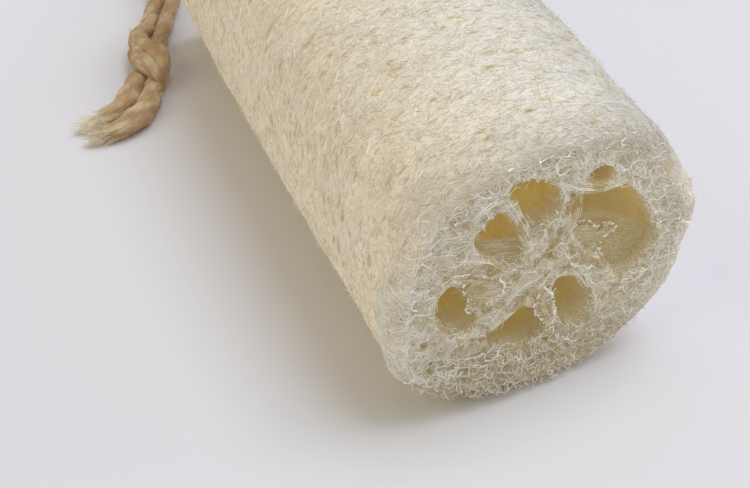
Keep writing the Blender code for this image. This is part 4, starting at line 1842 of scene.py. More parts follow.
@dataclass(frozen=True)
class ChamberFinish:
    """The smooth amber wall of a chamber, with a painted glow for the light that shines through it.
    """

    name: str
    half_length: float
    lip: Colour = (0.53, 0.455, 0.29)
    amber: Colour = (0.55, 0.44, 0.17)
    rust: Colour = (0.47, 0.32, 0.10)
    veil: Colour = (0.70, 0.62, 0.42)
    honey: Colour = (0.37, 0.275, 0.085)
    glow: float = 0.30

    def material(self) -> Material:
        """Makes the material.

        Returns:
            The material.
        """
        shader = Shader(self.name)
        place = shader.place()
        x, y, z = shader.parts(place)
        depth = self.half_length - abs(y)
        lines = shader.noise(shader.joined(x, y * 0.12, z), 0.8 * MM, 3.0)
        streaks = shader.noise(shader.joined(x * 0.15, y, z), 0.7 * MM, 2.0)
        blots = shader.noise(place, 5 * MM, 2.0)
        pocket = shader.ease(z, 51 * MM, 52 * MM) * shader.ease(x, 2 * MM, 4 * MM)
        near = shader.ease(depth + (blots - 0.5) * (5 * MM), 0.0, 6 * MM)
        near = shader.highest(near, pocket)
        colour = shader.mix(near, self.lip, self.amber)
        colour = shader.mix(pocket, colour, self.honey)
        colour = shader.mix(shader.ease(blots, 0.52, 0.72, 0.0, 0.5), colour, self.rust)
        colour = shader.mix(shader.ease(lines, 0.4, 0.6, 0.0, 0.4), colour, self.rust)
        colour = shader.mix(shader.ease(streaks, 0.5, 0.7, 0.0, 0.35) * (1.0 - near), colour,
                            self.amber)
        right = shader.ease(x, 5 * MM, 12 * MM, 0.0, 0.35)
        colour = shader.mix(right * shader.ease(blots, 0.4, 0.6, 0.5, 1.0), colour, self.veil)
        low = shader.ease(z, 40 * MM, 26 * MM, 0.0, 0.32)
        colour = shader.mix(low, colour, tuple(0.55 * c for c in self.amber))
        # The emission is a painted glow: dim at the mouth and amber deeper in.
        shine = shader.mix(near, tuple(0.55 * c for c in self.lip), colour)
        return shader.finish({
            "Base Color": colour, "Roughness": 0.5, "Emission Color": shine,
            "Emission Strength": self.glow,
            "Normal": shader.bump(lines * 0.6 + streaks * (1.0 - near), 0.2 * MM)})


@dataclass(frozen=True)
class CottonFinish:
    """Soft tan cotton with fibres along the cord and paler worn tips, with painted shade and glow.
    """

    name: str
    tan: Colour = (0.475, 0.33, 0.16)
    light: Colour = (0.66, 0.53, 0.34)
    rust: Colour = (0.44, 0.27, 0.14)
    # groove: the dark of the fine fibre lines, and painted shade in the grooves between the plies
    groove: Colour = (0.29, 0.17, 0.08)
    straw: Colour = (0.64, 0.52, 0.31)
    tip: Colour = (0.88, 0.82, 0.70)
    glow: float = 0.06

    def material(self) -> Material:
        """Makes the material of the cord itself.

        Returns:
            The material, which reads the UV map "cord".
        """
        shader = Shader(self.name)
        around = shader.add("ShaderNodeUVMap", {"uv_map": "cord"})
        u, v, _ = shader.parts(around)
        fibres = shader.noise(shader.joined(u * 34.0, v * (1 / (3 * MM)), 0.0), 1.0, 3.0)
        patches = shader.noise(shader.place(), 5 * MM, 2.0)
        colour = shader.mix(shader.ease(patches, 0.35, 0.65), self.tan, self.light)
        aged = shader.noise(shader.place(), 9 * MM, 1.0)
        colour = shader.mix(shader.ease(aged, 0.5, 0.62, 0.0, 0.6), colour, self.rust)
        worn = shader.attribute("worn")
        colour = shader.mix(shader.ease(worn, 0.1, 0.6, 0.0, 0.55), colour, self.straw)
        x, y, _ = shader.parts(shader.place())
        # How far the tips pale with wear and take the painted glow, by place near the tail ends.
        tip_wear_and_glow = shader.ease(x, -56 * MM, -62 * MM, 0.6, 1.0)
        tip_wear_and_glow = tip_wear_and_glow * shader.ease(y, 41.5 * MM, 44.5 * MM, 0.72, 1.0)
        worn = (worn + (patches - 0.5) * 0.5) * tip_wear_and_glow
        colour = shader.mix(shader.ease(worn, 0.5, 0.8), colour, self.tip)
        colour = shader.mix(shader.ease(fibres, 0.3, 0.6, 0.45, 0.0), colour, self.groove)
        # Painted shade in the grooves between the plies.
        colour = shader.mix(shader.attribute("groove") * 0.55, colour, self.groove)
        spots = shader.ease(shader.noise(shader.place(), 2.2 * MM, 2.0), 0.52, 0.66, 0.0, 0.3)
        colour = shader.mix(spots, colour, self.rust)
        # The emission is a painted glow, three times the tip colour where the tips wear most.
        lit = shader.mix(shader.ease(worn, 0.6, 0.9), colour, tuple(3.0 * c for c in self.tip))
        wrinkles = shader.noise(shader.joined(u * 6.0, v * (1 / (1.8 * MM)), 0.0), 1.0, 2.0)
        return shader.finish({
            "Base Color": colour, "Roughness": 0.85, "Emission Color": lit,
            "Emission Strength": self.glow,
            "Normal": shader.bump(fibres + wrinkles * 0.8, 0.4 * MM)})

    def hair(self) -> Material:
        """Makes the material of the fuzz.

        Returns:
            The material.
        """
        shader = Shader(f"{self.name}_fuzz")
        x, y, _ = shader.parts(shader.place())
        # The fuzz pales at the frayed tips, where its painted glow is three times the tip colour.
        tips = shader.ease(x, -57 * MM, -64 * MM, 0.1, 1.0)
        tips = tips * shader.ease(y, 41.5 * MM, 44.5 * MM, 0.6, 1.0)
        colour = shader.mix(shader.attribute("tone") * tips, self.light, self.tip)
        lit = shader.mix(tips, colour, tuple(3.0 * c for c in self.tip))
        return shader.finish({"Base Color": colour, "Roughness": 0.7, "Emission Color": lit,
                              "Emission Strength": self.glow})


THREAD_LEFT = Vector((-0.0194, 0.0593, 0.0302))
THREAD_RIGHT = Vector((-0.0042, 0.0593, 0.0189))
LOOP_LEFT = (
    (-0.0396, 0.0817, 0.0028), (-0.0387, 0.0838, 0.0026), (-0.0363, 0.0894, 0.0024),
    (-0.0324, 0.0966, 0.0024), (-0.0312, 0.1018, 0.0037), (-0.0298, 0.1056, 0.0082),
    (-0.0275, 0.1060, 0.0150), (-0.0245, 0.1020, 0.0230), (-0.0220, 0.0946, 0.0284),
    (-0.0201, 0.0860, 0.0300), (-0.0195, 0.0775, 0.0302), (-0.0194, 0.0684, 0.0302),
)
LOOP_RIGHT = (
    (-0.0042, 0.0684, 0.0189), (-0.0042, 0.0775, 0.0189), (-0.0043, 0.0855, 0.0186),
    (-0.0055, 0.0935, 0.0164), (-0.0090, 0.1003, 0.0120), (-0.0145, 0.1038, 0.0074),
    (-0.0200, 0.1036, 0.0040), (-0.0250, 0.1003, 0.0025), (-0.0280, 0.0947, 0.0024),
    (-0.0317, 0.0874, 0.0024), (-0.0353, 0.0800, 0.0026),
)
OVER_STRAND = (
    (-0.0403, 0.0797, 0.0040), (-0.0430, 0.0761, 0.0054), (-0.0446, 0.0711, 0.0060),
    (-0.0437, 0.0664, 0.0067), (-0.0418, 0.0633, 0.0068), (-0.0413, 0.0602, 0.0060),
    (-0.0426, 0.0575, 0.0048), (-0.0442, 0.0562, 0.0034),
)
UNDER_STRAND = (
    (-0.0366, 0.0775, 0.0030), (-0.0392, 0.0726, 0.0030), (-0.0421, 0.0675, 0.0029),
    (-0.0447, 0.0634, 0.0029),
)
TAIL_LEFT = (
    (-0.0472, 0.0603, 0.0029), (-0.0496, 0.0570, 0.0031), (-0.0521, 0.0529, 0.0032),
    (-0.0548, 0.0489, 0.0031), (-0.0583, 0.0463, 0.0029), (-0.0624, 0.0451, 0.0027),
    (-0.0665, 0.0450, 0.0024),
)
TAIL_RIGHT = (
    (-0.0454, 0.0541, 0.0028), (-0.0477, 0.0495, 0.0029), (-0.0505, 0.0449, 0.0029),
    (-0.0548, 0.0412, 0.0028), (-0.0600, 0.0389, 0.0027), (-0.0650, 0.0389, 0.0025),
)
COTTON_FUZZ: Sizes = {
    "Thickness": 0.11 * MM, "Waver": 0.15 * MM, "Flare": 0.0, "Points": 3, "Sides": 3}
NECK = (
    (-0.0428, 0.0749, 0.0015), (-0.0456, 0.0682, 0.0046), (-0.0464, 0.0619, 0.0063),
    (-0.0453, 0.0574, 0.0069), (-0.0440, 0.0548, 0.0056), (-0.0438, 0.0553, 0.0026),
    (-0.0445, 0.0561, 0.0012),
)


@dataclass(frozen=True)
class HangingCord:
    """One cotton cord in two runs, which meet inside the web that it is threaded through."""

    diameter: float = 4.5 * MM
    plies: int = 3
    ply_share: float = 0.8
    lay: float = 26 * MM
    sides: int = 36
    step: float = 0.7 * MM
    turn_points: int = 5
    knot: tuple[float, float, float] = (-0.0425, 0.0660, 0.0045)
    knot_reach: float = 9 * MM
    knot_swell: float = 0.42
    knot_low: float = 3.2 * MM
    knot_high: float = 5.2 * MM
    tail_swell: float = 0.42
    swollen: float = 24 * MM
    swell_end: float = 11 * MM
    tip_length: float = 7 * MM
    tip_share: float = 0.34
    neck_scale: float = 0.95
    untwisted: float = 17 * MM
    worn_length: float = 14 * MM
    sagging: float = 0.17
    soft_share: float = 0.10
    soft_pitch: float = 2.6 * MM
    broad_share: float = 0.06
    broad_pitch: float = 7 * MM
    cord_gap: float = 0.1 * MM
    hairs: int = 600
    hair_length: tuple[float, float] = (0.5 * MM, 1.5 * MM)
    tip_hairs: int = 330
    tip_hair_length: tuple[float, float] = (1.5 * MM, 4.0 * MM)

    def route(self, knots: Sequence[Sequence[float]]) -> list[Vector]:
        """Points an even step apart on the smooth curve through some knots."""
        return [Vector(p) for p in spaced(curve_through(np.array(knots), False), self.step, 1)]

    def half_turn(self, share: float) -> list[Vector]:
        """Points of the quarter circle from the middle of the turn to one side.

        Args:
            share: 1 for the left side and -1 for the right side.

        Returns:
            The points, from inside the web outwards.
        """
        middle = (THREAD_LEFT + THREAD_RIGHT) / 2
        across = share * (THREAD_LEFT - THREAD_RIGHT) / 2
        deeper = Vector((0, -across.length, 0))
        quarter = 0.5 * math.pi / (self.turn_points - 1)
        return [middle + across * math.sin(k * quarter) + deeper * math.cos(k * quarter)
                for k in range(self.turn_points)]

    def section(self, angle: float) -> tuple[float, float]:
        """The outline of the plies side by side.

        Args:
            angle: an angle round the cord's centre line.

        Returns:
            The radius there, and how deep in a groove it is from 0 to 1.
        """
        ply = self.ply_share * self.diameter / 2
        centre = self.diameter / 2 - ply
        part = 2 * math.pi / self.plies
        off = (angle + part / 2) % part - part / 2
        radius = centre * math.cos(off) + math.sqrt(ply ** 2 - (centre * math.sin(off)) ** 2)
        return radius, held((self.diameter / 2 - radius) / (0.08 * self.diameter))

    def fullness(self, point: Vector, left: float) -> float:
        """How thick the cord is, as a share of its usual thickness.

        Args:
            point: a place on the centre line.
            left: how much of the cord is left beyond it.

        Returns:
            The share: the knot and the untwisted tail are fuller, and the tip thins out.
        """
        near = math.exp(-((point - Vector(self.knot)).length / self.knot_reach) ** 4)
        near *= held((point.z - self.knot_low) / (self.knot_high - self.knot_low))
        tail = min(1.0, left / self.swell_end) / (1 + math.exp((left - self.swollen) / (3 * MM)))
        tip = math.sqrt(max(0.0, 1 - max(0.0, 1 - left / self.tip_length) ** 2.2))
        full = 1 + max(self.knot_swell * near, self.tail_swell * tail)
        return full * max(self.tip_share, tip)

    def strand(self, name: str, path: Sequence[Vector], material: Material,
               phase: float, scale: float = 1.0, frayed: bool = True) -> Object:
        """A twisted cord along a path.

        Args:
            name: the piece's name.
            path: the centre line, evenly spaced.
            material: its finish.
            phase: the twist at the start, in radians.
            scale: how thick it is, as a share of the cord's usual thickness.
            frayed: whether it ends in a worn tip.

        Returns:
            The cord as a closed mesh with a UV map and the attributes "groove" and "worn".
        """
        verts, grooves, worn, rings = [], [], [], len(path)
        side = Vector((0, 0, 1)).cross(path[1] - path[0]).normalized()
        twist = phase
        for i, point in enumerate(path):
            along = (path[min(i + 1, rings - 1)] - path[max(i - 1, 0)]).normalized()
            side = (side - along * side.dot(along)).normalized()
            lift = along.cross(side)
            left = (rings - 1 - i) * self.step if frayed else 1.0
            loose = max(0.0, 1 - left / self.untwisted)
            twist += 2 * math.pi * self.step / self.lay * (1 - loose) ** 0.7
            full = scale * self.fullness(point, left)
            for k in range(self.sides):
                angle = 2 * math.pi * k / self.sides
                radius, groove = self.section(angle - twist)
                radius -= self.sagging * self.diameter * loose * groove
                outward = math.cos(angle) * side + math.sin(angle) * lift
                soft = noise.noise((point + outward * radius) / self.soft_pitch)
                broad = noise.noise(point / self.broad_pitch)
                radius *= full * (1 + self.soft_share * soft + self.broad_share * broad)
                spot = point + radius * outward
                spot.z = max(spot.z, self.cord_gap)
                verts.append(spot)
                grooves.append(min(1.0, groove * (1 + loose)))
                worn.append(max(0.0, 1 - left / self.worn_length))
        around = [(k, (k + 1) % self.sides) for k in range(self.sides)]
        last = (rings - 1) * self.sides
        faces = [(a + k, a + n, a + self.sides + n, a + self.sides + k)
                 for a in range(0, last, self.sides) for k, n in around]
        faces += [tuple(reversed(range(self.sides))), tuple(range(last, last + self.sides))]
        mesh = bpy.data.meshes.new(name)
        mesh.from_pydata(verts, [], faces)
        keep_on(mesh, "groove", grooves)
        keep_on(mesh, "worn", worn)
        self.unwrap(mesh)
        mesh.shade_smooth()
        mesh.materials.append(material)
        bm = bmesh.new()
        bm.from_mesh(mesh)
        bmesh.ops.recalc_face_normals(bm, faces=bm.faces)
        bm.to_mesh(mesh)
        bm.free()
        return link(name, mesh)

    def unwrap(self, mesh: Mesh) -> None:
        """Writes the UV map: a share of the way round, and metres along the cord.

        Args:
            mesh: the cord's mesh.
        """
        layer = mesh.uv_layers.new(name="cord")
        for face in mesh.polygons:
            columns = {mesh.loops[i].vertex_index % self.sides for i in face.loop_indices}
            wraps = 0 in columns and self.sides - 1 in columns and len(face.loop_indices) == 4
            for i in face.loop_indices:
                ring, k = divmod(mesh.loops[i].vertex_index, self.sides)
                share = 1.0 if wraps and k == 0 else k / self.sides
                layer.data[i].uv = (share, ring * self.step)

    @staticmethod
    def hair(rng: random.Random, root: Vector, heading: Vector, length: float,
             bend: float) -> list[tuple[float, float, float]]:
        """One hair that bends aside.

        Args:
            rng: draws the side that it bends to.
            root: where it starts.
            heading: the way it starts.
            length: how long it is.
            bend: how far its tip lies aside, as a share of its length.

        Returns:
            Its four points.
        """
        aside = Vector([rng.gauss(0, 1) for _ in range(3)]).normalized()
        spots = [root + heading * (length * t) + aside * (bend * length * t * t)
                 for t in (0.0, 1 / 3, 2 / 3, 1.0)]
        return [(spot.x, spot.y, max(spot.z, HAIR_GAP)) for spot in spots]

    def fuzz(self, cord: Object, path: Sequence[Vector], tree: StrandTree, seed: int) -> Object:
        """Short hairs all over a run of the cord, and the frayed ones at its tip.

        Args:
            cord: the run's mesh.
            path: its centre line.
            tree: the tree that gives the hairs their thickness.
            seed: sets the hairs of this run apart.

        Returns:
            The hairs as one piece.
        """
        rng = random.Random(seed)
        chains = Chains()
        rings = len(path)
        for _ in range(self.hairs):
            i = rng.randrange(2, rings - 1)
            vertex = cord.data.vertices[i * self.sides + rng.randrange(self.sides)].co
            along = (path[i] - path[i - 1]).normalized()
            out = (vertex - path[i]).normalized()
            heading = (along * rng.uniform(-1, 1) + out * rng.uniform(0.25, 0.9)).normalized()
            root, length = vertex - out * (0.1 * MM), rng.uniform(*self.hair_length)
            chains.add(self.hair(rng, root, heading, length, 0.5))
        ahead = (path[-1] - path[-4]).normalized()
        for _ in range(self.tip_hairs):
            i = rng.randrange(rings - 10, rings)
            vertex = cord.data.vertices[i * self.sides + rng.randrange(self.sides)].co
            out = (vertex - path[i]).normalized()
            root = path[i] + (vertex - path[i]) * rng.uniform(0.2, 1.0)
            heading = (ahead + out * rng.uniform(0, 0.45)).normalized()
            length = rng.uniform(*self.tip_hair_length)
            chains.add(self.hair(rng, root, heading, length, 0.3))
        return tree.lay(chains, f"{cord.name}_fuzz", COTTON_FUZZ)

    def build(self, material: Material, hair: Material) -> None:
        """Builds and hands over both runs of the cord.

        Args:
            material: the cotton's finish.
            hair: the finish of its fuzz.
        """
        left = [*self.half_turn(1.0), *reversed(LOOP_LEFT), *OVER_STRAND, *TAIL_RIGHT]
        right = [*self.half_turn(-1.0), *LOOP_RIGHT, *UNDER_STRAND, *TAIL_LEFT]
        tree = StrandTree(hair)
        for name, knots, phase, nodes in (
                ("cord_run_left", left, 0.4, ("cord_loop", "cord_knot")),
                ("cord_run_right", right, 1.3, ("cord_tail_left", "cord_tail_right"))):
            path = self.route(knots)
            cord = self.strand(name, path, material, phase)
            hand_over(cord, *nodes, slot="cotton_cord")
            pieces = [self.fuzz(cord, path, tree, len(knots))]
            if knots is left:
                pieces.append(self.strand("cord_neck", self.route(NECK), material, 0.9,
                                          self.neck_scale, False))
            for piece in pieces:
                hand_over(piece, slot="cotton_cord")


@dataclass(frozen=True)
class Studio:
    """The pale floor, the soft lights and the camera."""

    camera_place: tuple[float, float, float] = (-0.10048, -0.22434, 0.20257)
    yaw: float = math.radians(23.3834)
    pitch: float = math.radians(42.9576)
    lens: float = 60.0
    sensor: float = 36.0
    floor_half: float = 3.0
    floor_colour: Colour = (0.74, 0.735, 0.76)
    sky: Colour = (0.397, 0.309, 0.246)
    sun_width: float = math.radians(35)
    suns: tuple[tuple[str, float, float, Colour], ...] = (
        ("key", 0, 70, (1.266, 1.419, 1.671)), ("right", 0, 20, (0.492, 0.468, 0.525)),
        ("left", 180, 45, (0.396, 0.426, 0.258)), ("front", 315, 45, (0.18, 0.285, 0.318)),
        ("back", 90, 70, (0.156, 0.207, 0.297)))

    def camera(self) -> None:
        """Places the camera where the photograph was taken from."""
        data = bpy.data.cameras.new("camera")
        data.lens = self.lens
        data.sensor_width = self.sensor
        data.clip_start = 0.01
        camera = link("camera", data)
        camera.location = self.camera_place
        ahead = Vector((math.sin(self.yaw) * math.cos(self.pitch),
                        math.cos(self.yaw) * math.cos(self.pitch), -math.sin(self.pitch)))
        camera.rotation_euler = ahead.to_track_quat("-Z", "Y").to_euler()
        bpy.context.scene.camera = camera

    def floor(self) -> None:
        """Lays the floor that the loofah rests on."""
        h = self.floor_half
        mesh = bpy.data.meshes.new("floor")
        mesh.from_pydata([(-h, -h, 0), (h, -h, 0), (h, h, 0), (-h, h, 0)], [], [(0, 1, 2, 3)])
        shader = Shader("pale_floor")
        mesh.materials.append(shader.finish({
            "Base Color": (*self.floor_colour, 1.0), "Roughness": 0.8, "Specular IOR Level": 0.2}))
        link("floor", mesh)

    def sun(self, name: str, azimuth: float, height: float, strength: Colour) -> None:
        """Adds a broad, soft light from far away.

        Args:
            name: its name.
            azimuth: where it stands, in degrees from +X towards +Y.
            height: how high it stands, in degrees.
            strength: its strength in red, green and blue.
        """
        data = bpy.data.lights.new(name, "SUN")
        data.angle = self.sun_width
        data.energy = max(strength)
        data.color = [part / max(strength) for part in strength]
        sun = link(name, data)
        turn, rise = math.radians(azimuth), math.radians(height)
        towards = Vector((math.cos(turn) * math.cos(rise), math.sin(turn) * math.cos(rise),
                          math.sin(rise)))
        sun.rotation_euler = towards.to_track_quat("Z", "Y").to_euler()

    def build(self) -> None:
        """Sets up the studio."""
        self.camera()
        self.floor()
        for name, azimuth, height, strength in self.suns:
            self.sun(name, azimuth, height, strength)
        world = bpy.data.worlds.new("studio")
        world.use_nodes = True
        background = world.node_tree.nodes["Background"]
        background.inputs["Color"].default_value = (*self.sky, 1.0)
        background.inputs["Strength"].default_value = 1.0
        bpy.context.scene.world = world
        bpy.context.scene.view_settings.view_transform = "Standard"


BUNDLES = (
    Bundle(((4.3, 0.2, 51.8), (4.7, 0.5, 48.2), (3.8, 0.5, 45.0), (2.6, 0.4, 42.4),
            (1.1, 0.3, 40.2)), 9, 0.4),
    Bundle(((-3.7, 0.2, 57.8), (-0.3, 0.4, 55.4), (4.3, 0.5, 52.3), (8.9, 0.5, 50.6),
            (12.1, 0.5, 50.9), (15.5, 0.3, 51.6)), 9, 0.4),
    Bundle(((-12.8, 0.2, 21.0), (-10.1, 0.5, 23.2), (-6.7, 0.6, 25.6), (-3.8, 0.6, 28.0),
            (-0.6, 0.5, 31.0), (0.9, 0.3, 33.2)), 9, 0.3),
    Bundle(((-12.2, 0.3, 22.8), (-9.4, 0.5, 28.2), (-6.3, 0.5, 31.2), (-2.0, 0.5, 32.2)), 7, 0.3),
    Bundle(((-10.9, 0.2, 55.3), (-8.9, 0.5, 51.4), (-6.2, 0.6, 46.3), (-4.9, 0.6, 41.5),
            (-4.0, 0.4, 36.7)), 9, 0.55),
    Bundle(((-12.6, 0.2, 54.6), (-9.9, 0.5, 51.2), (-6.8, 0.6, 45.8), (-5.0, 0.6, 41.6),
            (-4.6, 0.4, 38.0)), 8, 0.45),
    Bundle(((0.6, 0.3, 27.2), (0.9, 0.5, 30.6), (3.0, 0.6, 31.7), (5.3, 0.6, 31.0),
            (7.4, 0.5, 28.3), (9.4, 0.3, 24.0)), 6, 0.25),
    Bundle(((-18.3, 0.2, 51.4), (-16.9, 0.4, 53.6), (-14.6, 0.5, 55.2), (-12.0, 0.4, 56.1)), 6, 0.4),
    Bundle(((-20.9, 0.2, 43.1), (-15.7, 0.4, 41.4), (-11.3, 0.5, 38.4), (-6.7, 0.4, 36.2)), 6, 0.5),
    Bundle(((-29.1, 0.0, 16.8), (-28.6, 0.4, 14.2), (-25.4, 0.5, 12.4), (-21.8, 0.3, 10.5)), 5, 0.4),
    Bundle(((-24.1, 0.1, 11.8), (-18.5, 0.5, 9.0), (-12.6, 0.5, 7.2)), 4, 0.7),
)
SHEETS = (
    TornMembrane(((-17.1, 44.2), (-15.5, 45.6), (-12.5, 44.6), (-9.5, 44.0), (-6.5, 43.7),
                  (-5.0, 40.8), (-5.2, 37.6), (-7.0, 36.2), (-9.9, 37.0), (-12.6, 39.2),
                  (-14.7, 39.8), (-16.8, 41.6)),
                 back=1.6, lean=(0.0, 0.35), curl=0.0, ragged=0.2, pinholes=0.0, frayed=0.0,
                 film=0.6),
    TornMembrane(((4.6, 44.6), (8.0, 46.0), (11.0, 44.4), (15.5, 41.6), (20.4, 38.4),
                  (24.0, 34.0), (25.6, 28.0), (24.2, 22.6), (20.0, 21.4), (15.0, 23.6),
                  (11.0, 29.5), (7.0, 32.0), (3.0, 38.6)),
                 back=2.0, lean=(0.12, 0.0), curl=0.0, ragged=0.2, pinholes=0.0, frayed=0.0,
                 film=0.5),
    TornMembrane(((-21.4, 40.2), (-18.1, 39.7), (-14.4, 37.8), (-11.0, 35.4), (-10.3, 32.2),
                  (-11.2, 30.1), (-14.1, 30.1), (-16.0, 29.5), (-17.6, 28.5), (-18.6, 30.6),
                  (-18.3, 32.6), (-19.7, 35.4), (-19.4, 37.1), (-21.1, 38.3)),
                 back=-0.5, curl=0.5, pinholes=0.3, film=0.85),
    TornMembrane(((-1.7, 29.3), (0.5, 27.6), (1.9, 23.2), (2.4, 19.5), (0.8, 17.6),
                  (-1.2, 20.0), (-3.2, 24.3)), back=-0.4, curl=0.5, pinholes=0.25),
    TornMembrane(((4.1, 42.6), (5.7, 43.8), (7.8, 42.8), (10.4, 40.3), (11.8, 40.8),
                  (13.6, 39.7), (15.5, 37.7), (14.5, 36.7), (12.5, 36.4), (11.4, 34.7),
                  (12.4, 31.4), (9.8, 30.2), (7.7, 31.0), (4.5, 33.1), (3.0, 37.6)),
                 back=0.9, lean=(0.12, 0.05), curl=0.7, pinholes=0.22, film=0.95),
)
FELT_LAYERS: dict[str, Sizes] = {
    "felt_coarse": {"Density": 0.24e6, "Length": 3.4 * MM, "Thickness": 0.20 * MM,
                    "Proud": 0.10 * MM, "Spread": 0.9, "Points": 4, "Seed": 3, "Lift": 0.02 * MM},
    "felt_main": {"Density": 0.29e6, "Length": 2.7 * MM, "Thickness": 0.165 * MM,
                  "Proud": 0.10 * MM, "Spread": 1.3, "Points": 4, "Seed": 4, "Lift": 0.06 * MM},
    "felt_fine": {"Density": 0.34e6, "Length": 2.1 * MM, "Thickness": 0.14 * MM, "Spread": 2.4,
                  "Points": 4, "Seed": 5, "Lift": 0.08 * MM, "Proud": 0.18 * MM, "Dive": 0.1 * MM},
    "felt_fuzz": {"Density": 0.075e6, "Length": 2.4 * MM, "Thickness": 0.10 * MM,
                  "Spread": 3.1, "Points": 4, "Seed": 6, "Lift": 0.1 * MM,
                  "Proud": 0.35 * MM, "Dive": -0.8 * MM, "Wander": 0.9 * MM},
}
SCRIBBLE: Sizes = {
    "Length": 3.0 * MM, "Thickness": 0.15 * MM, "Spread": 3.1, "Wander": 1.6 * MM,
    "Lift": 0.2 * MM, "Proud": 0.5 * MM, "Dive": 0.1 * MM, "Points": 6, "Pit Depth": 0.0,
    "Seed": 11,
}
SCRIBBLES: dict[str, Sizes] = {
    "near_scribble": {**SCRIBBLE, "Density": 2.2e6},
    "far_scribble": {**SCRIBBLE, "Density": 0.4e6},
    "membrane_scribble": {**SCRIBBLE, "Density": 0.3e6, "Length": 2 * MM, "Lift": 0.1 * MM,
                          "Proud": 0.15 * MM, "Wander": 1.2 * MM, "Thickness": 0.12 * MM},
}
NET: Sizes = {"Thickness": 0.25 * MM, "Points": 6, "Waver": 0.7 * MM, "Waver Pitch": 2.0 * MM,
              "Flare": 0.7, "Sides": 3}
STRANDS: dict[str, Sizes] = {
    "near_net": NET,
    "far_net": NET,
    "near_foam": {"Thickness": 0.26 * MM, "Points": 3, "Sides": 3},
    "near_apron": {"Thickness": 0.24 * MM, "Points": 4, "Sides": 3},
    "strand_bundles": {"Thickness": 0.175 * MM, "Points": 12, "Taper": 0.5, "Flare": 0.0,
                       "Sides": 3},
    "mouth_fringe": {"Thickness": 0.14 * MM, "Points": 4, "Waver": 0.4 * MM, "Flare": 0.0,
                     "Sides": 3},
}


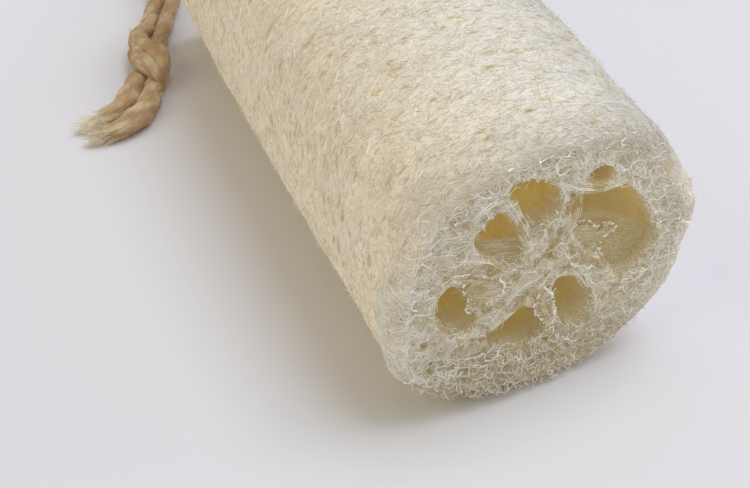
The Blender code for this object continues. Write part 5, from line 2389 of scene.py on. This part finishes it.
@dataclass(frozen=True)
class LoofahDress:
    """All that the body wears: felt, nets, bundles, fringe and membranes."""

    form: LoofahForm
    body: Object
    away: float = 0.65
    under: float = 0.45
    under_below: float = 12 * MM
    away_beyond: float = 16 * MM
    away_below: float = 52 * MM
    rim_zone: float = 0.86
    rim_depth: float = 6 * MM
    scribble_depth: float = 7 * MM
    low_from: float = 48 * MM
    low_over: float = 14 * MM

    def lowness(self, z: float) -> float:
        """How far down a height is, where the rim is ragged and bare: from 0 to 1."""
        return held((self.low_from - z) / self.low_over)

    def felted(self, middle: Vector, kind: int) -> float:
        """How densely the felt lies on a face of the body.

        Args:
            middle: the face's middle.
            kind: its surface.

        Returns:
            The density as a share of the layer's own.
        """
        inner = self.form.reach(middle.x, middle.z) < self.rim_zone
        if kind == Surface.CHAMBER or (kind == Surface.FLESH and inner):
            return 0.0
        density = 1.0
        if middle.z < self.under_below:
            density = self.under
        elif middle.x > self.away_beyond and middle.z < self.away_below:
            density = self.away
        depth = 0.5 * self.form.length - abs(middle.y)
        if depth < self.rim_depth:
            density *= 1 - self.lowness(middle.z) * min(1.0, 1.5 - depth / (4 * MM))
        return density

    def scribbled(self, middle: Vector, kind: int, end: End) -> float:
        """How densely the loose scribble of fine strands lies on a face of the body.

        Args:
            middle: the face's middle.
            kind: its surface.
            end: the cut end that is dressed.

        Returns:
            The density as a share of the scribble's own.
        """
        depth = 0.5 * self.form.length - end.value * middle.y
        opened = float(self.form.openness(np.array([(middle.x, middle.z)]))[0])
        low = self.lowness(middle.z)
        if depth > self.scribble_depth or (kind == Surface.SKIN and depth > (2 + 4 * low) * MM):
            return 0.0
        if kind == Surface.CHAMBER:
            slope = middle.x > 11 * MM and middle.z < 38 * MM
            return (1.2 - depth / (6 * MM)) if slope else max(0.0, 0.5 - depth / (4 * MM))
        weight = 1 - 0.4 * opened
        if kind == Surface.SKIN or self.form.reach(middle.x, middle.z) > self.rim_zone:
            weight *= 0.05 + 0.95 * low
        near = min(math.hypot(middle.x - a * MM, middle.z - b * MM) / (r * MM) for a, b, r in HOLES)
        return weight * min(1.0, 0.15 + 0.5 * near * near)

    def fibres(self, tree: FibreTree, base: Object, layers: Mapping[str, Sizes],
               weight: Callable[[Vector, int], float]) -> None:
        """Lays fibres on an object, and hands them over.

        Args:
            tree: the tree for fibres on a surface.
            base: the object that they lie on.
            layers: the sizes of each piece by its name.
            weight: how densely they lie on a face, as LoofahBody.guide takes it.
        """
        guide = LoofahBody.guide(base, "guide", weight)
        for name, sizes in layers.items():
            hand_over(tree.grow(guide, name, sizes))
        discard(guide)

    def cut_end(self, end: End, strands: StrandTree, scribble: FibreTree) -> None:
        """Dresses one cut end with its net and its scribble of fine strands.

        Args:
            end: which end.
            strands: the tree for strands along edges.
            scribble: the tree for fibres on a surface.
        """
        net = CutNet(self.form, end)
        name = end.name.lower()
        hand_over(strands.lay(net.window_net(), f"{name}_net", STRANDS[f"{name}_net"]))
        self.fibres(scribble, self.body, {f"{name}_scribble": SCRIBBLES[f"{name}_scribble"]},
                    lambda middle, kind: self.scribbled(middle, kind, end))

    def near_foam(self, strands: StrandTree) -> None:
        """Adds the foam under the near end's net, and the coarser apron at its lower edge.

        Args:
            strands: the tree for strands along edges.
        """
        net = CutNet(self.form, End.NEAR)
        apron = replace(net, foam_cell=2.6 * MM, foam_top=-2.6 * MM, foam_bottom=4.5 * MM,
                        foam_from=-1.0, foam_ceiling=12 * MM, foam_margin=3.4 * MM,
                        foam_lean=0.6, seed=33)
        for name, part in (("near_foam", net), ("near_apron", apron)):
            hand_over(strands.lay(part.foam(), name, STRANDS[name]))

    def near_details(self, strands: StrandTree, scribble: FibreTree) -> None:
        """Adds the bundles, the fringe and the torn membranes of the near end.

        Args:
            strands: the tree for strands along edges.
            scribble: the tree for fibres on a surface.
        """
        for name, part in (("strand_bundles", StrandBundles(self.form, BUNDLES)),
                           ("mouth_fringe", MouthFringe(self.form))):
            hand_over(strands.lay(part.chains(), name, STRANDS[name]))
        sheets = Membranes(self.form, SHEETS).build(MembraneFinish("membrane").material())
        hand_over(sheets)
        name = "membrane_scribble"
        self.fibres(scribble, sheets, {name: SCRIBBLES[name]},
                    lambda middle, kind: float(middle.z < 36 * MM))


def dress_loofah() -> None:
    """Builds the loofah's body, and dresses it."""
    form = LoofahForm()
    skin = FeltFinish("felt_ground", form, pale=(0.845, 0.775, 0.63), cream=(0.83, 0.75, 0.585))
    flesh = FleshFinish("cut_flesh", form)
    walls = ChamberFinish("chamber_wall", 0.5 * form.length)
    body = LoofahBody(form).build([skin.material(True), flesh.material(), walls.material()])
    hand_over(body, "loofah")
    dress = LoofahDress(form, body)
    felt = FibreTree(form, FeltFinish("felt_fibre", form).material(False))
    dress.fibres(felt, body, FELT_LAYERS, dress.felted)
    finish = StrandFinish("net_strand", form).material()
    strands, scribble = StrandTree(finish), FibreTree(form, finish)
    dress.cut_end(End.NEAR, strands, scribble)
    dress.near_foam(strands)
    dress.cut_end(End.FAR, strands, scribble)
    dress.near_details(strands, scribble)


def main() -> None:
    """Builds the scene in order."""
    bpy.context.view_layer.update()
    noise.seed_set(NOISE_SEED)
    Studio().build()
    cotton = CottonFinish("cotton")
    HangingCord().build(cotton.material(), cotton.hair())
    dress_loofah()


if __name__ == "__main__":
    main()
